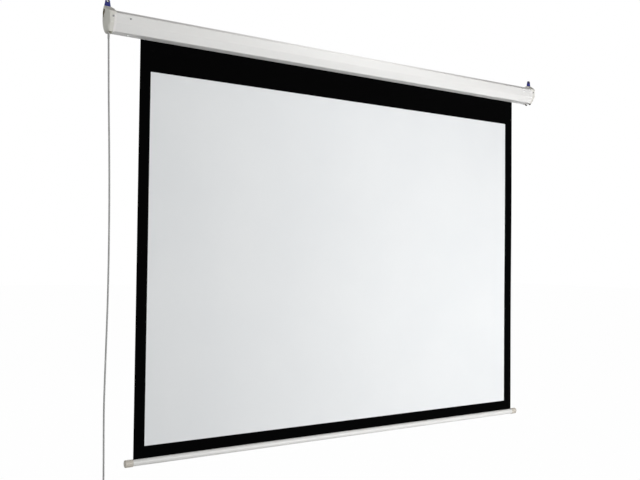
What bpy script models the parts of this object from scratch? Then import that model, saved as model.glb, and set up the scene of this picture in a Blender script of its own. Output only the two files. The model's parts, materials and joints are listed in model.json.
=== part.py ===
"""Motorised projector screen, hung on a wall by two ears, with its cloth let down.

Metres, +Z up. The origin is the centre of the casing's flat rear face. The front faces -Y and the
wall is at +Y. The roller turns about X, and the weight bar slides along Z.
"""

import math

import bmesh
import bpy
from mathutils import Matrix, Vector

# Picture and cloth
PICTURE_WIDTH = 2.000
PICTURE_HEIGHT = 1.500
SIDE_BORDER = 0.0475
TOP_BORDER = 0.1236
BOTTOM_BORDER = 0.0484
CLOTH_THICKNESS = 0.0005
CLOTH_OFFSET = 0.021

# Casing section: vertical facets, slanted facets below, small chamfers above
CASING_DEPTH = 0.084
CASING_BOTTOM = -0.048
FACET_LOW = -0.019
FACET_HIGH = 0.019
CASING_TOP = 0.033
LOWER_INSET = 0.019
TOP_INSET = 0.018
CASING_WALL = 0.0015
END_ROOM = 0.1155
SLOT_FRONT = 0.005
SLOT_REAR = 0.0065
CORNER_RADIUS = 0.002

# Clearances
FIT_GAP = 0.0003
RUNNING_GAP = 0.0004

# Roller and the cloth's safety turns
ROLLER_RADIUS = 0.025
ROLLER_WALL = 0.0012
ROLLER_BELOW_ORIGIN = 0.0085
ROLLER_LEFT_ROOM = 0.058
ROLLER_RIGHT_ROOM = 0.0425
GROOVE_WIDTH = 0.006
GROOVE_DEPTH = 0.0024
KEY_HEIGHT = 0.0018
TURNS_THICKNESS = 0.00165

# Motor
MOTOR_LENGTH = 0.480
MOTOR_CLEARANCE = 0.0038
HEAD_RADIUS = 0.0245
HEAD_LENGTH = 0.0177
HEAD_BOSS = 0.012
CROWN_LENGTH = 0.013
WHEEL_LENGTH = 0.018
SHAFT_RADIUS = 0.006
SHAFT_LENGTH = 0.028
LIMIT_SCREW_RADIUS = 0.0025
LIMIT_SCREW_DEPTH = 0.007
LIMIT_SCREW_PROUD = 0.001
LIMIT_SCREW_SPREAD = 0.010
LIMIT_SCREW_RISE = 0.013

# Idler
IDLER_LENGTH = 0.030
IDLER_FLANGE = 0.0015
PIN_RADIUS = 0.005
PIN_LENGTH = 0.038
BUSH_RADIUS = 0.009
BUSH_FLANGE_RADIUS = 0.012
BUSH_FLANGE = 0.0025

# Brackets inside the casing
BRACKET_THICKNESS = 0.003
BRACKET_FROM_END = 0.034
BRACKET_TAB = 0.051
TAB_THICKNESS = 0.002
TAB_WIDTH = 0.030

# End caps
CAP_PROUD = 0.002
CAP_WALL = 0.0017
MOUTH_GAP = 0.00025
SLEEVE_OVERLAP = 0.018
BARREL_RADIUS = 0.081
CAP_BULGE = 0.021
BARREL_EDGE = 0.016
CAP_SHOULDER = 0.024
RIDGE_TOP = 0.051
RIDGE_HALF = 0.003
FLANK_HOLLOW = 0.0008
RAMP_BESIDE_EAR = 0.0004
RAMP_DROP = 0.0070
RAMP_STEPS = 6
KEYHOLE_RADIUS = 0.011
KEYHOLE_CENTRE = 0.028
KEYHOLE_SLOT_WIDTH = 0.008
KEYHOLE_SLOT_END = 0.012

# Hanger plates and ears
PLATE_THICKNESS = 0.002
PLATE_WIDTH = 0.024
PLATE_BEYOND_CASING = 0.003
PLATE_LOW = -0.012
PLATE_HIGH = 0.0415
HANGER_FLANGE = 0.056
TONGUE_WIDTH = 0.016
TONGUE_FOOT = 0.0395
TONGUE_TOP = 0.060
PLATE_SLOT_WIDTH = 0.007
PLATE_SLOT_TOP = 0.0165
PLATE_SLOT_LOW = -0.004
EAR_FROM_CASING_END = 0.0057
EAR_THICKNESS = 0.005
EAR_BASE_HALF = 0.0125
EAR_TOP_HALF = 0.008
EAR_HEIGHT = 0.027
EAR_CORNER = 0.0065
EYELET_BELOW_TOP = 0.0069
EYELET_BORE = 0.0032
EYELET_BARREL = 0.0045
EYELET_FLANGE = 0.0062
EYELET_RIM = 0.0006

# Screws
SCREW_HEAD_RADIUS = 0.0039
SCREW_HEAD_HEIGHT = 0.0025
SCREW_RADIUS = 0.0014
SCREW_LENGTH = 0.0058
SCREW_HOLE_RADIUS = 0.0017
RECESS_REACH = 0.0021
RECESS_HALF_WIDTH = 0.00045
RECESS_FLOOR = 0.0011
SCREW_LEVEL = 0.004
CAP_SCREW_INSET = 0.006
CAP_SCREW_UNDER_INSET = 0.009
CASE_SCREW_INSET = 0.074
CASE_SCREW_UNDER_INSET = 0.077

# Feet, gland and cord
FOOT_RADIUS = 0.0055
FOOT_HEIGHT = 0.007
FOOT_INSET = 0.003
FOOT_FRONT = -0.0175
FOOT_REAR = 0.0075
CORD_RADIUS = 0.0035
CORD_INSET = 0.003
CORD_REAR = 0.0075
GLAND_BARREL = 0.0043
GLAND_FLANGE = 0.0056
GLAND_BELOW = 0.0027
GLAND_ABOVE = 0.002
RELIEF_LENGTH = 0.022
RELIEF_END_RADIUS = 0.0038
COIL_RADIUS = 0.036
COIL_PITCH = 0.0078
COIL_TURNS = 5
COIL_POINTS = 24
COIL_CENTRE = -1.845
COIL_LEAD = 0.0105
COIL_END = 0.070
TIE_HEIGHT = 0.012
TIE_THICKNESS = 0.0012
TIE_SLACK = 0.0004
CORD_STEP = 0.0225
COIL_SHIFT = 0.012

# Mains plug
PLUG_RELIEF = 0.025
PLUG_RELIEF_RADIUS = 0.005
PLUG_NECK = 0.010
PLUG_NECK_RADIUS = 0.0075
PLUG_RADIUS = 0.0185
PLUG_BODY = 0.022
PLUG_PIN_RADIUS = 0.0024
PLUG_PIN_LENGTH = 0.019
PLUG_PIN_SEAT = 0.006
PLUG_PIN_SPREAD = 0.0095

# Weight bar
BAR_HALF_HEIGHT = 0.013
BAR_HALF_DEPTH = 0.012
BAR_WALL = 0.0016
BAR_SLOT_HALF = 0.0014
BAR_OVERHANG = 0.0015
BAR_IN_CAP = 0.011
BAR_CAP_LENGTH = 0.036
BAR_CAP_HALF_HEIGHT = 0.015
BAR_CAP_HALF_DEPTH = 0.0135
BAR_CAP_ROUND = 0.004
ROD_RADIUS = 0.006
ROD_INSET = 0.010
SPLINE_BEAD = 0.0026
SPLINE_HALF_WEB = 0.0006

# Places that follow from the sizes above
MIDDLE_Y = -CASING_DEPTH / 2
ROLLER_Z = -ROLLER_BELOW_ORIGIN
CLOTH_HALF = PICTURE_WIDTH / 2 + SIDE_BORDER
CLOTH_LEFT = CLOTH_OFFSET - CLOTH_HALF
CLOTH_RIGHT = CLOTH_OFFSET + CLOTH_HALF
CASING_HALF = CLOTH_HALF + END_ROOM
ROLLER_LEFT = ROLLER_LEFT_ROOM - CASING_HALF
ROLLER_RIGHT = CASING_HALF - ROLLER_RIGHT_ROOM
TURNS_RADIUS = ROLLER_RADIUS + FIT_GAP + TURNS_THICKNESS
CLOTH_Y = MIDDLE_Y + TURNS_RADIUS + FIT_GAP + CLOTH_THICKNESS / 2
BAR_TOP = CASING_BOTTOM - TOP_BORDER - PICTURE_HEIGHT - BOTTOM_BORDER
BAR_CENTRE = BAR_TOP - BAR_HALF_HEIGHT
BAR_HALF = CLOTH_HALF + BAR_OVERHANG + BAR_IN_CAP
CORD_X = CORD_INSET - CASING_HALF
CORD_Y = MIDDLE_Y + CORD_REAR
CORD_TOP = CASING_BOTTOM - CAP_PROUD - FIT_GAP - RELIEF_LENGTH - FIT_GAP
COIL_X = CORD_X + COIL_SHIFT
COIL_END_Y = CORD_Y - COIL_TURNS * COIL_PITCH
PLUG_TOP = COIL_CENTRE - COIL_END - FIT_GAP
EAR_X = CASING_HALF + EAR_FROM_CASING_END
SIDES = {"left": -1, "right": 1}

PARTS = "motorised_projector_screen"
CUTTERS = "cutters"


def start_scene():
    """Remove every object and make the two collections."""
    for obj in list(bpy.data.objects):
        bpy.data.objects.remove(obj, do_unlink=True)
    for name in (PARTS, CUTTERS):
        collection = bpy.data.collections.new(name)
        bpy.context.scene.collection.children.link(collection)


def material(name, colour, roughness, metallic=0.0):
    """Return the named Principled material, made on first use."""
    found = bpy.data.materials.get(name)
    if found:
        return found
    made = bpy.data.materials.new(name)
    made.use_nodes = True
    shader = made.node_tree.nodes["Principled BSDF"]
    shader.inputs["Base Color"].default_value = (*colour, 1.0)
    shader.inputs["Roughness"].default_value = roughness
    shader.inputs["Metallic"].default_value = metallic
    return made


def painted_white():
    return material("white_paint", (0.80, 0.80, 0.78), 0.40)


def cap_plastic():
    return material("cap_plastic", (0.76, 0.75, 0.71), 0.45)


def ear_plastic():
    return material("blue_plastic", (0.02, 0.03, 0.25), 0.40)


def passivated_steel():
    return material("passivated_steel", (0.35, 0.27, 0.10), 0.35, 1.0)


def zinc_steel():
    return material("zinc_steel", (0.60, 0.60, 0.60), 0.35, 1.0)


def dark_rubber():
    return material("dark_rubber", (0.03, 0.03, 0.03), 0.80)


def black_plastic():
    return material("black_plastic", (0.03, 0.03, 0.03), 0.45)


def grey_cord():
    return material("grey_cord", (0.30, 0.30, 0.30), 0.50)


def bar_plastic():
    return material("bar_cap_plastic", (0.60, 0.56, 0.50), 0.45)


def brass():
    return material("brass", (0.70, 0.50, 0.20), 0.30, 1.0)


def cloth_white():
    return material("screen_cloth", (0.85, 0.85, 0.85), 0.90)


def add_mesh(name, bm, surface, smooth=None):
    """Turn a bmesh into an object of the parts collection, or of the cutters if it has no surface."""
    mesh = bpy.data.meshes.new(name)
    bm.to_mesh(mesh)
    bm.free()
    return add_object(name, mesh, surface, smooth)


def add_object(name, data, surface, smooth=None):
    obj = bpy.data.objects.new(name, data)
    bpy.data.collections[PARTS if surface else CUTTERS].objects.link(obj)
    if surface:
        data.materials.append(surface)
    else:
        obj.hide_render = True
        obj.display_type = "WIRE"
    if smooth:
        data.shade_smooth()
        data.set_sharp_from_angle(angle=math.radians(smooth))
    return obj


def spot(axis, u, v, w):
    """The point at (u, v) in the plane square to the axis, and at w along it."""
    return Vector({"X": (w, u, v), "Y": (u, w, v), "Z": (u, v, w)}[axis])


def prism(name, outline, axis, low, high, surface, smooth=None):
    """A flat outline extruded along an axis."""
    bm = bmesh.new()
    ring = [bm.verts.new(spot(axis, u, v, low)) for u, v in outline]
    face = bm.faces.new(ring)
    grown = bmesh.ops.extrude_face_region(bm, geom=[face])["geom"]
    moved = [item for item in grown if isinstance(item, bmesh.types.BMVert)]
    bmesh.ops.translate(bm, vec=spot(axis, 0, 0, high - low), verts=moved)
    bmesh.ops.recalc_face_normals(bm, faces=bm.faces)
    return add_mesh(name, bm, surface, smooth)


def box(name, low, high, surface):
    bm = bmesh.new()
    size = Vector(high) - Vector(low)
    middle = (Vector(high) + Vector(low)) / 2
    bmesh.ops.create_cube(bm, size=1, matrix=Matrix.Translation(middle) @ Matrix.Diagonal((*size, 1)))
    return add_mesh(name, bm, surface)


def shell(name, path, axis, low, high, wall, surface, closed, smooth=None):
    """A path extruded along an axis as an open surface, with its wall on the inner side."""
    bm = bmesh.new()
    line = [bm.verts.new(spot(axis, u, v, low)) for u, v in path]
    pairs = list(zip(line, line[1:]))
    if closed:
        pairs.append((line[-1], line[0]))
    edges = [bm.edges.new(pair) for pair in pairs]
    grown = bmesh.ops.extrude_edge_only(bm, edges=edges)["geom"]
    moved = [item for item in grown if isinstance(item, bmesh.types.BMVert)]
    bmesh.ops.translate(bm, vec=spot(axis, 0, 0, high - low), verts=moved)
    bmesh.ops.recalc_face_normals(bm, faces=bm.faces)
    middle = sum((v.co for v in bm.verts), Vector()) / len(bm.verts)
    outward = sum(f.normal.dot(f.calc_center_median() - middle) * f.calc_area() for f in bm.faces)
    if outward < 0:
        bmesh.ops.reverse_faces(bm, faces=bm.faces)
    obj = add_mesh(name, bm, surface, smooth)
    solid = obj.modifiers.new("wall", "SOLIDIFY")
    solid.thickness = wall
    solid.offset = -1
    solid.use_even_offset = True
    return obj


TURNS_TO = {
    "+X": (0, math.pi / 2, 0),
    "-X": (0, -math.pi / 2, 0),
    "+Y": (-math.pi / 2, 0, 0),
    "-Y": (math.pi / 2, 0, 0),
    "+Z": (0, 0, 0),
    "-Z": (math.pi, 0, 0),
}


def turned(name, profile, facing, place, surface, steps=32, closed=False, smooth=40):
    """A profile of (radius, height) points, from its top down, turned about an axis that faces a way."""
    bm = bmesh.new()
    line = [bm.verts.new((radius, 0, height)) for radius, height in profile]
    for pair in zip(line, line[1:]):
        bm.edges.new(pair)
    if closed:
        bm.edges.new((line[-1], line[0]))
    obj = add_mesh(name, bm, surface)
    obj.location = place
    obj.rotation_euler = TURNS_TO[facing]
    screw = obj.modifiers.new("turn", "SCREW")
    screw.axis = "Z"
    screw.steps = steps
    screw.render_steps = steps
    screw.use_merge_vertices = True
    screw.merge_threshold = 0.00005
    screw.use_smooth_shade = smooth is not None
    return obj


def cylinder(name, radius, facing, place, length, surface, steps=32):
    """A cylinder from a place, along the way that it faces."""
    return turned(name, [(0, length), (radius, length), (radius, 0), (0, 0)], facing, place, surface, steps)


def ring(name, bore, radius, facing, place, length, surface, steps=32):
    profile = [(radius, length), (radius, 0), (bore, 0), (bore, length)]
    return turned(name, profile, facing, place, surface, steps, closed=True)


def tube(name, points, radius, resolution, surface):
    """A round tube through the points."""
    curve = bpy.data.curves.new(name, "CURVE")
    curve.dimensions = "3D"
    curve.bevel_depth = radius
    curve.bevel_resolution = resolution
    curve.use_fill_caps = True
    spline = curve.splines.new("POLY")
    spline.points.add(len(points) - 1)
    for knot, point in zip(spline.points, points):
        knot.co = (*point, 1)
    return add_object(name, curve, surface)


def combine(target, tool, operation):
    """Cut, join or trim the target with the tool, which stays among the cutters."""
    change = target.modifiers.new(tool.name, "BOOLEAN")
    change.operation = operation
    change.solver = "EXACT"
    change.object = tool
    return target


def drill(target, name, radius, facing, place, length, steps=24):
    """Cut a round hole that starts at the place and runs the way that it faces."""
    return combine(target, cylinder(name, radius, facing, place, length, None, steps), "DIFFERENCE")


def rounded(points, radius, closed=True, steps=3):
    """The path with each of its corners turned into an arc."""
    path = []
    count = len(points)
    for index, corner in enumerate(points):
        if not closed and index in (0, count - 1):
            path.append(corner)
            continue
        here = Vector(corner)
        back = Vector(points[index - 1]) - here
        ahead = Vector(points[(index + 1) % count]) - here
        half = back.angle(ahead) / 2
        reach = radius / math.tan(half)
        centre = here + (back.normalized() + ahead.normalized()).normalized() * radius / math.sin(half)
        first = here + back.normalized() * reach - centre
        last = here + ahead.normalized() * reach - centre
        for step in range(steps + 1):
            part = step / steps
            spoke = first * (1 - part) + last * part
            path.append(tuple(centre + spoke.normalized() * radius))
    return path


def grown(points, distance):
    """The closed outline, given counter-clockwise, moved outward by a distance."""
    moved = []
    count = len(points)
    for index, corner in enumerate(points):
        here = Vector(corner)
        along_in = (here - Vector(points[index - 1])).normalized()
        along_out = (Vector(points[(index + 1) % count]) - here).normalized()
        out_in = Vector((along_in.y, -along_in.x))
        out_out = Vector((along_out.y, -along_out.x))
        shift = (out_in + out_out) * distance / (1 + out_in.dot(out_out))
        moved.append(tuple(here + shift))
    return moved


def arc(centre_u, centre_v, radius_u, radius_v, start, end, steps):
    """Points along an ellipse between two angles in degrees."""
    points = []
    for step in range(steps + 1):
        angle = math.radians(start + (end - start) * step / steps)
        points.append((centre_u + radius_u * math.cos(angle), centre_v + radius_v * math.sin(angle)))
    return points


def casing_outline():
    """The casing's outer section as (y, z), counter-clockwise from its bottom front corner."""
    front = -CASING_DEPTH
    return [
        (-LOWER_INSET, CASING_BOTTOM),
        (0, FACET_LOW),
        (0, FACET_HIGH),
        (-TOP_INSET, CASING_TOP),
        (front + TOP_INSET, CASING_TOP),
        (front, FACET_HIGH),
        (front, FACET_LOW),
        (front + LOWER_INSET, CASING_BOTTOM),
    ]


def lower_z(y):
    """Height of the casing's underside at y, on its flat bottom or its rear slanted facet."""
    if y <= -LOWER_INSET:
        return CASING_BOTTOM
    return FACET_LOW + y / LOWER_INSET * (FACET_LOW - CASING_BOTTOM)


def casing_path():
    """The casing's outer section from the rear lip of the cloth's slot round to its front lip."""
    rear_lip = CLOTH_Y + SLOT_REAR
    front_lip = CLOTH_Y - SLOT_FRONT
    corners = casing_outline()
    path = [(rear_lip, lower_z(rear_lip))] + corners[1:]
    if front_lip > -LOWER_INSET:
        path.append(corners[0])
    path.append((front_lip, lower_z(front_lip)))
    return rounded(path, CORNER_RADIUS, closed=False)


def cap_outline():
    """The end cap's outer section: the casing's lower half grown but flush at the wall, with a tent above."""
    lower = grown(casing_outline(), CAP_PROUD)
    (low_y, low_z), (high_y, high_z) = lower[:2]
    rear_z = low_z - low_y * (high_z - low_z) / (high_y - low_y)
    front = -CASING_DEPTH - CAP_PROUD
    rear_flank = flank(0, MIDDLE_Y + RIDGE_HALF)
    front_flank = flank(front, MIDDLE_Y - RIDGE_HALF)
    return [lower[0], (0, rear_z)] + rear_flank + front_flank[::-1] + [lower[6], lower[7]]


def flank(foot_y, ridge_y):
    """The tent's slightly hollow flank from the shoulder up to the ridge."""
    steps = 4
    points = []
    for step in range(steps + 1):
        part = step / steps
        height = CAP_SHOULDER + (RIDGE_TOP - CAP_SHOULDER) * part
        sag = FLANK_HOLLOW * math.sin(math.pi * part)
        points.append((foot_y + (ridge_y - foot_y) * part, height - sag))
    return points


def barrel(name, side, shrink):
    """The upright barrel that gives the cap its crowned end, smaller by the given amount."""
    radius = BARREL_RADIUS - shrink
    foot = CASING_BOTTOM - CAP_PROUD - MOUTH_GAP + shrink
    top = RIDGE_TOP + CAP_PROUD
    edge = arc(radius - BARREL_EDGE, foot + BARREL_EDGE, BARREL_EDGE, BARREL_EDGE, 0, -90, 6)
    profile = [(0, top), (radius - CAP_PROUD, top), (radius, KEYHOLE_CENTRE)] + edge + [(0, foot)]
    centre_x = side * (CASING_HALF + CAP_BULGE - BARREL_RADIUS)
    return turned(name, profile, "+Z", (centre_x, MIDDLE_Y, 0), None, steps=96)


def ramp(name, side, sink):
    """The space over the tent's inner end, where it falls in a hollow curve from the ear to the mouth."""
    start = EAR_X - EAR_BASE_HALF - RAMP_BESIDE_EAR + sink
    end = CASING_HALF - SLEEVE_OVERLAP
    outline = []
    for step in range(RAMP_STEPS + 1):
        part = step / RAMP_STEPS
        height = RIDGE_TOP - sink - RAMP_DROP * part * (2 - part)
        outline.append((side * (start + (end - start) * part), height))
    high = RIDGE_TOP + CAP_PROUD
    outline.append((side * (end - CAP_PROUD), outline[-1][1]))
    outline += [(side * (end - CAP_PROUD), high), (side * start, high)]
    return prism(name, outline, "Y", -CASING_DEPTH - 2 * CAP_PROUD, CAP_PROUD, None)


def make_casing():
    casing = shell(
        "casing", casing_path(), "X", -CASING_HALF, CASING_HALF, CASING_WALL, painted_white(), False, 30
    )
    front = -CASING_DEPTH - CAP_PROUD
    bottom = CASING_BOTTOM - CAP_PROUD
    depth = CAP_PROUD + CASING_WALL + FIT_GAP + TAB_THICKNESS
    for word, side in SIDES.items():
        for inset in (CAP_SCREW_INSET, CASE_SCREW_INSET):
            place = (side * (CASING_HALF - inset), front, SCREW_LEVEL)
            drill(casing, f"casing_front_{word}_{inset}", SCREW_HOLE_RADIUS, "+Y", place, depth)
        for inset in (CAP_SCREW_UNDER_INSET, CASE_SCREW_UNDER_INSET):
            place = (side * (CASING_HALF - inset), MIDDLE_Y, bottom)
            drill(casing, f"casing_under_{word}_{inset}", SCREW_HOLE_RADIUS, "+Z", place, depth)
    notch = GLAND_FLANGE + RUNNING_GAP
    return drill(casing, "casing_gland_notch", notch, "+Z", (CORD_X, CORD_Y, bottom), depth)


def make_end_cap(word, side):
    """A sleeve over the casing's end, open at the wall, a crowned face with a keyhole, and a tented top."""
    mouth = CASING_HALF - SLEEVE_OVERLAP
    far = CASING_HALF + CAP_BULGE + CAP_PROUD
    outline = cap_outline()
    cap = prism(f"end_cap_{word}", outline, "X", side * mouth, side * far, cap_plastic(), 30)
    combine(cap, barrel(f"cap_crown_{word}", side, 0), "INTERSECT")
    combine(cap, ramp(f"cap_ramp_{word}", side, 0), "DIFFERENCE")

    inner = grown(outline, -CAP_WALL)
    hollow = prism(f"cap_hollow_{word}", inner, "X", side * (mouth + CAP_WALL), side * far, None)
    combine(hollow, barrel(f"cap_inner_crown_{word}", side, CAP_WALL), "INTERSECT")
    combine(hollow, ramp(f"cap_inner_ramp_{word}", side, CAP_WALL), "DIFFERENCE")
    combine(cap, hollow, "DIFFERENCE")
    seat = grown(casing_outline(), MOUTH_GAP)
    start = side * (mouth - CAP_PROUD)
    end = side * (CASING_HALF + FIT_GAP)
    combine(cap, prism(f"cap_seat_{word}", seat, "X", start, end, None), "DIFFERENCE")

    outward = "-X" if side < 0 else "+X"
    door = (side * (CASING_HALF + PLATE_BEYOND_CASING), MIDDLE_Y, KEYHOLE_CENTRE)
    drill(cap, f"cap_keyhole_{word}", KEYHOLE_RADIUS, outward, door, CAP_BULGE, 32)
    half = KEYHOLE_SLOT_WIDTH / 2
    near = min(door[0], side * far)
    away = max(door[0], side * far)
    low = (near, MIDDLE_Y - half, KEYHOLE_SLOT_END)
    high = (away, MIDDLE_Y + half, KEYHOLE_CENTRE)
    combine(cap, box(f"cap_keyhole_slot_{word}", low, high, None), "DIFFERENCE")

    half_x = TONGUE_WIDTH / 2 + FIT_GAP
    half_y = PLATE_THICKNESS / 2 + FIT_GAP
    low = (side * EAR_X - half_x, MIDDLE_Y - half_y, PLATE_HIGH)
    high = (side * EAR_X + half_x, MIDDLE_Y + half_y, RIDGE_TOP + CAP_PROUD)
    combine(cap, box(f"cap_tongue_slot_{word}", low, high, None), "DIFFERENCE")

    front = -CASING_DEPTH - CAP_PROUD - FIT_GAP
    bottom = CASING_BOTTOM - CAP_PROUD - FIT_GAP
    depth = CAP_PROUD + CASING_WALL
    place = (side * (CASING_HALF - CAP_SCREW_INSET), front, SCREW_LEVEL)
    drill(cap, f"cap_screw_hole_front_{word}", SCREW_HOLE_RADIUS, "+Y", place, depth)
    place = (side * (CASING_HALF - CAP_SCREW_UNDER_INSET), MIDDLE_Y, bottom)
    drill(cap, f"cap_screw_hole_under_{word}", SCREW_HOLE_RADIUS, "+Z", place, depth)
    if word == "left":
        drill(cap, "cap_gland_hole", GLAND_BARREL + FIT_GAP, "+Z", (CORD_X, CORD_Y, bottom), depth)
    return cap


def make_hanger_plate(word, side):
    """Steel angle: a flange under the casing's top, an upright behind the keyhole, and the ear's tongue."""
    near = side * (CASING_HALF + PLATE_BEYOND_CASING)
    far = near + side * PLATE_THICKNESS
    half = PLATE_WIDTH / 2
    low = (min(near, far), MIDDLE_Y - half, PLATE_LOW)
    high = (max(near, far), MIDDLE_Y + half, PLATE_HIGH)
    plate = box(f"hanger_plate_{word}", low, high, passivated_steel())

    flange_top = CASING_TOP - CASING_WALL - FIT_GAP
    inner = side * (CASING_HALF + PLATE_BEYOND_CASING + PLATE_THICKNESS / 2 - HANGER_FLANGE)
    overlap = near + side * PLATE_THICKNESS / 2
    low = (min(inner, overlap), MIDDLE_Y - half, flange_top - PLATE_THICKNESS)
    high = (max(inner, overlap), MIDDLE_Y + half, flange_top)
    combine(plate, box(f"hanger_flange_{word}", low, high, None), "UNION")

    thin = PLATE_THICKNESS / 2
    low = (side * EAR_X - TONGUE_WIDTH / 2, MIDDLE_Y - thin, TONGUE_FOOT)
    high = (side * EAR_X + TONGUE_WIDTH / 2, MIDDLE_Y + thin, TONGUE_TOP)
    combine(plate, box(f"hanger_tongue_{word}", low, high, None), "UNION")

    slot = PLATE_SLOT_WIDTH / 2
    low = (min(near, far) - PLATE_THICKNESS, MIDDLE_Y - slot, PLATE_SLOT_LOW)
    high = (max(near, far) + PLATE_THICKNESS, MIDDLE_Y + slot, PLATE_SLOT_TOP)
    return combine(plate, box(f"hanger_slot_{word}", low, high, None), "DIFFERENCE")


def make_ear(word, side):
    """The blue tip over the hanger's tongue, with a dark eyelet in its hole."""
    foot = RIDGE_TOP + RUNNING_GAP
    top = foot + EAR_HEIGHT
    centre = side * EAR_X
    corners = [
        (centre - EAR_BASE_HALF, foot),
        (centre + EAR_BASE_HALF, foot),
        (centre + EAR_TOP_HALF, top),
        (centre - EAR_TOP_HALF, top),
    ]
    curved = rounded(corners, EAR_CORNER, steps=6)
    arc_points = len(curved) // 4
    outline = corners[:2] + curved[2 * arc_points :]
    half = EAR_THICKNESS / 2
    tip = prism(f"ear_tip_{word}", outline, "Y", MIDDLE_Y - half, MIDDLE_Y + half, ear_plastic(), 30)

    half_x = TONGUE_WIDTH / 2 + FIT_GAP
    half_y = PLATE_THICKNESS / 2 + FIT_GAP
    low = (centre - half_x, MIDDLE_Y - half_y, foot - FIT_GAP)
    high = (centre + half_x, MIDDLE_Y + half_y, TONGUE_TOP + FIT_GAP)
    combine(tip, box(f"ear_pocket_{word}", low, high, None), "DIFFERENCE")
    level = top - EYELET_BELOW_TOP
    start = (centre, MIDDLE_Y - EAR_THICKNESS, level)
    drill(tip, f"ear_hole_{word}", EYELET_BARREL + FIT_GAP, "+Y", start, 2 * EAR_THICKNESS, 32)

    face = half + FIT_GAP
    profile = [
        (EYELET_FLANGE, face + EYELET_RIM),
        (EYELET_FLANGE, face),
        (EYELET_BARREL, face),
        (EYELET_BARREL, -face),
        (EYELET_FLANGE, -face),
        (EYELET_FLANGE, -face - EYELET_RIM),
        (EYELET_BORE, -face - EYELET_RIM),
        (EYELET_BORE, face + EYELET_RIM),
    ]
    place = (centre, MIDDLE_Y, level)
    turned(f"ear_eyelet_{word}", profile, "+Y", place, black_plastic(), 24, closed=True)


def bracket_blank(name, side):
    """A bracket's plate across the casing, with a tab along the front and one along the bottom."""
    outline = grown(casing_outline(), -CASING_WALL - FIT_GAP)
    top = CASING_TOP - CASING_WALL - PLATE_THICKNESS - 2 * FIT_GAP - RUNNING_GAP
    clipped = outline[:3] + outline[5:]
    clipped[2] = (outline[2][0], min(outline[2][1], top))
    clipped[3] = (outline[5][0], min(outline[5][1], top))
    outer = side * (CASING_HALF - BRACKET_FROM_END)
    inner = outer - side * BRACKET_THICKNESS
    plate = prism(name, clipped, "X", outer, inner, zinc_steel())

    reach = outer - side * BRACKET_TAB
    overlap = outer - side * BRACKET_THICKNESS / 2
    front = -CASING_DEPTH + CASING_WALL + FIT_GAP
    bottom = CASING_BOTTOM + CASING_WALL + FIT_GAP
    half = TAB_WIDTH / 2
    low = (min(reach, overlap), front, SCREW_LEVEL - half)
    high = (max(reach, overlap), front + TAB_THICKNESS, SCREW_LEVEL + half / 2)
    combine(plate, box(f"{name}_front_tab", low, high, None), "UNION")
    low = (min(reach, overlap), MIDDLE_Y - half, bottom)
    high = (max(reach, overlap), MIDDLE_Y + half, bottom + TAB_THICKNESS)
    combine(plate, box(f"{name}_bottom_tab", low, high, None), "UNION")

    depth = TAB_THICKNESS + 2 * FIT_GAP
    place = (side * (CASING_HALF - CASE_SCREW_INSET), front - FIT_GAP, SCREW_LEVEL)
    drill(plate, f"{name}_front_hole", SCREW_HOLE_RADIUS, "+Y", place, depth)
    place = (side * (CASING_HALF - CASE_SCREW_UNDER_INSET), MIDDLE_Y, bottom - FIT_GAP)
    return drill(plate, f"{name}_bottom_hole", SCREW_HOLE_RADIUS, "+Z", place, depth)


def lead_hole():
    """Where the motor's lead crosses its bracket, as (y, z)."""
    return CORD_Y, ROLLER_Z - HEAD_RADIUS + 2 * CORD_RADIUS


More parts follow.
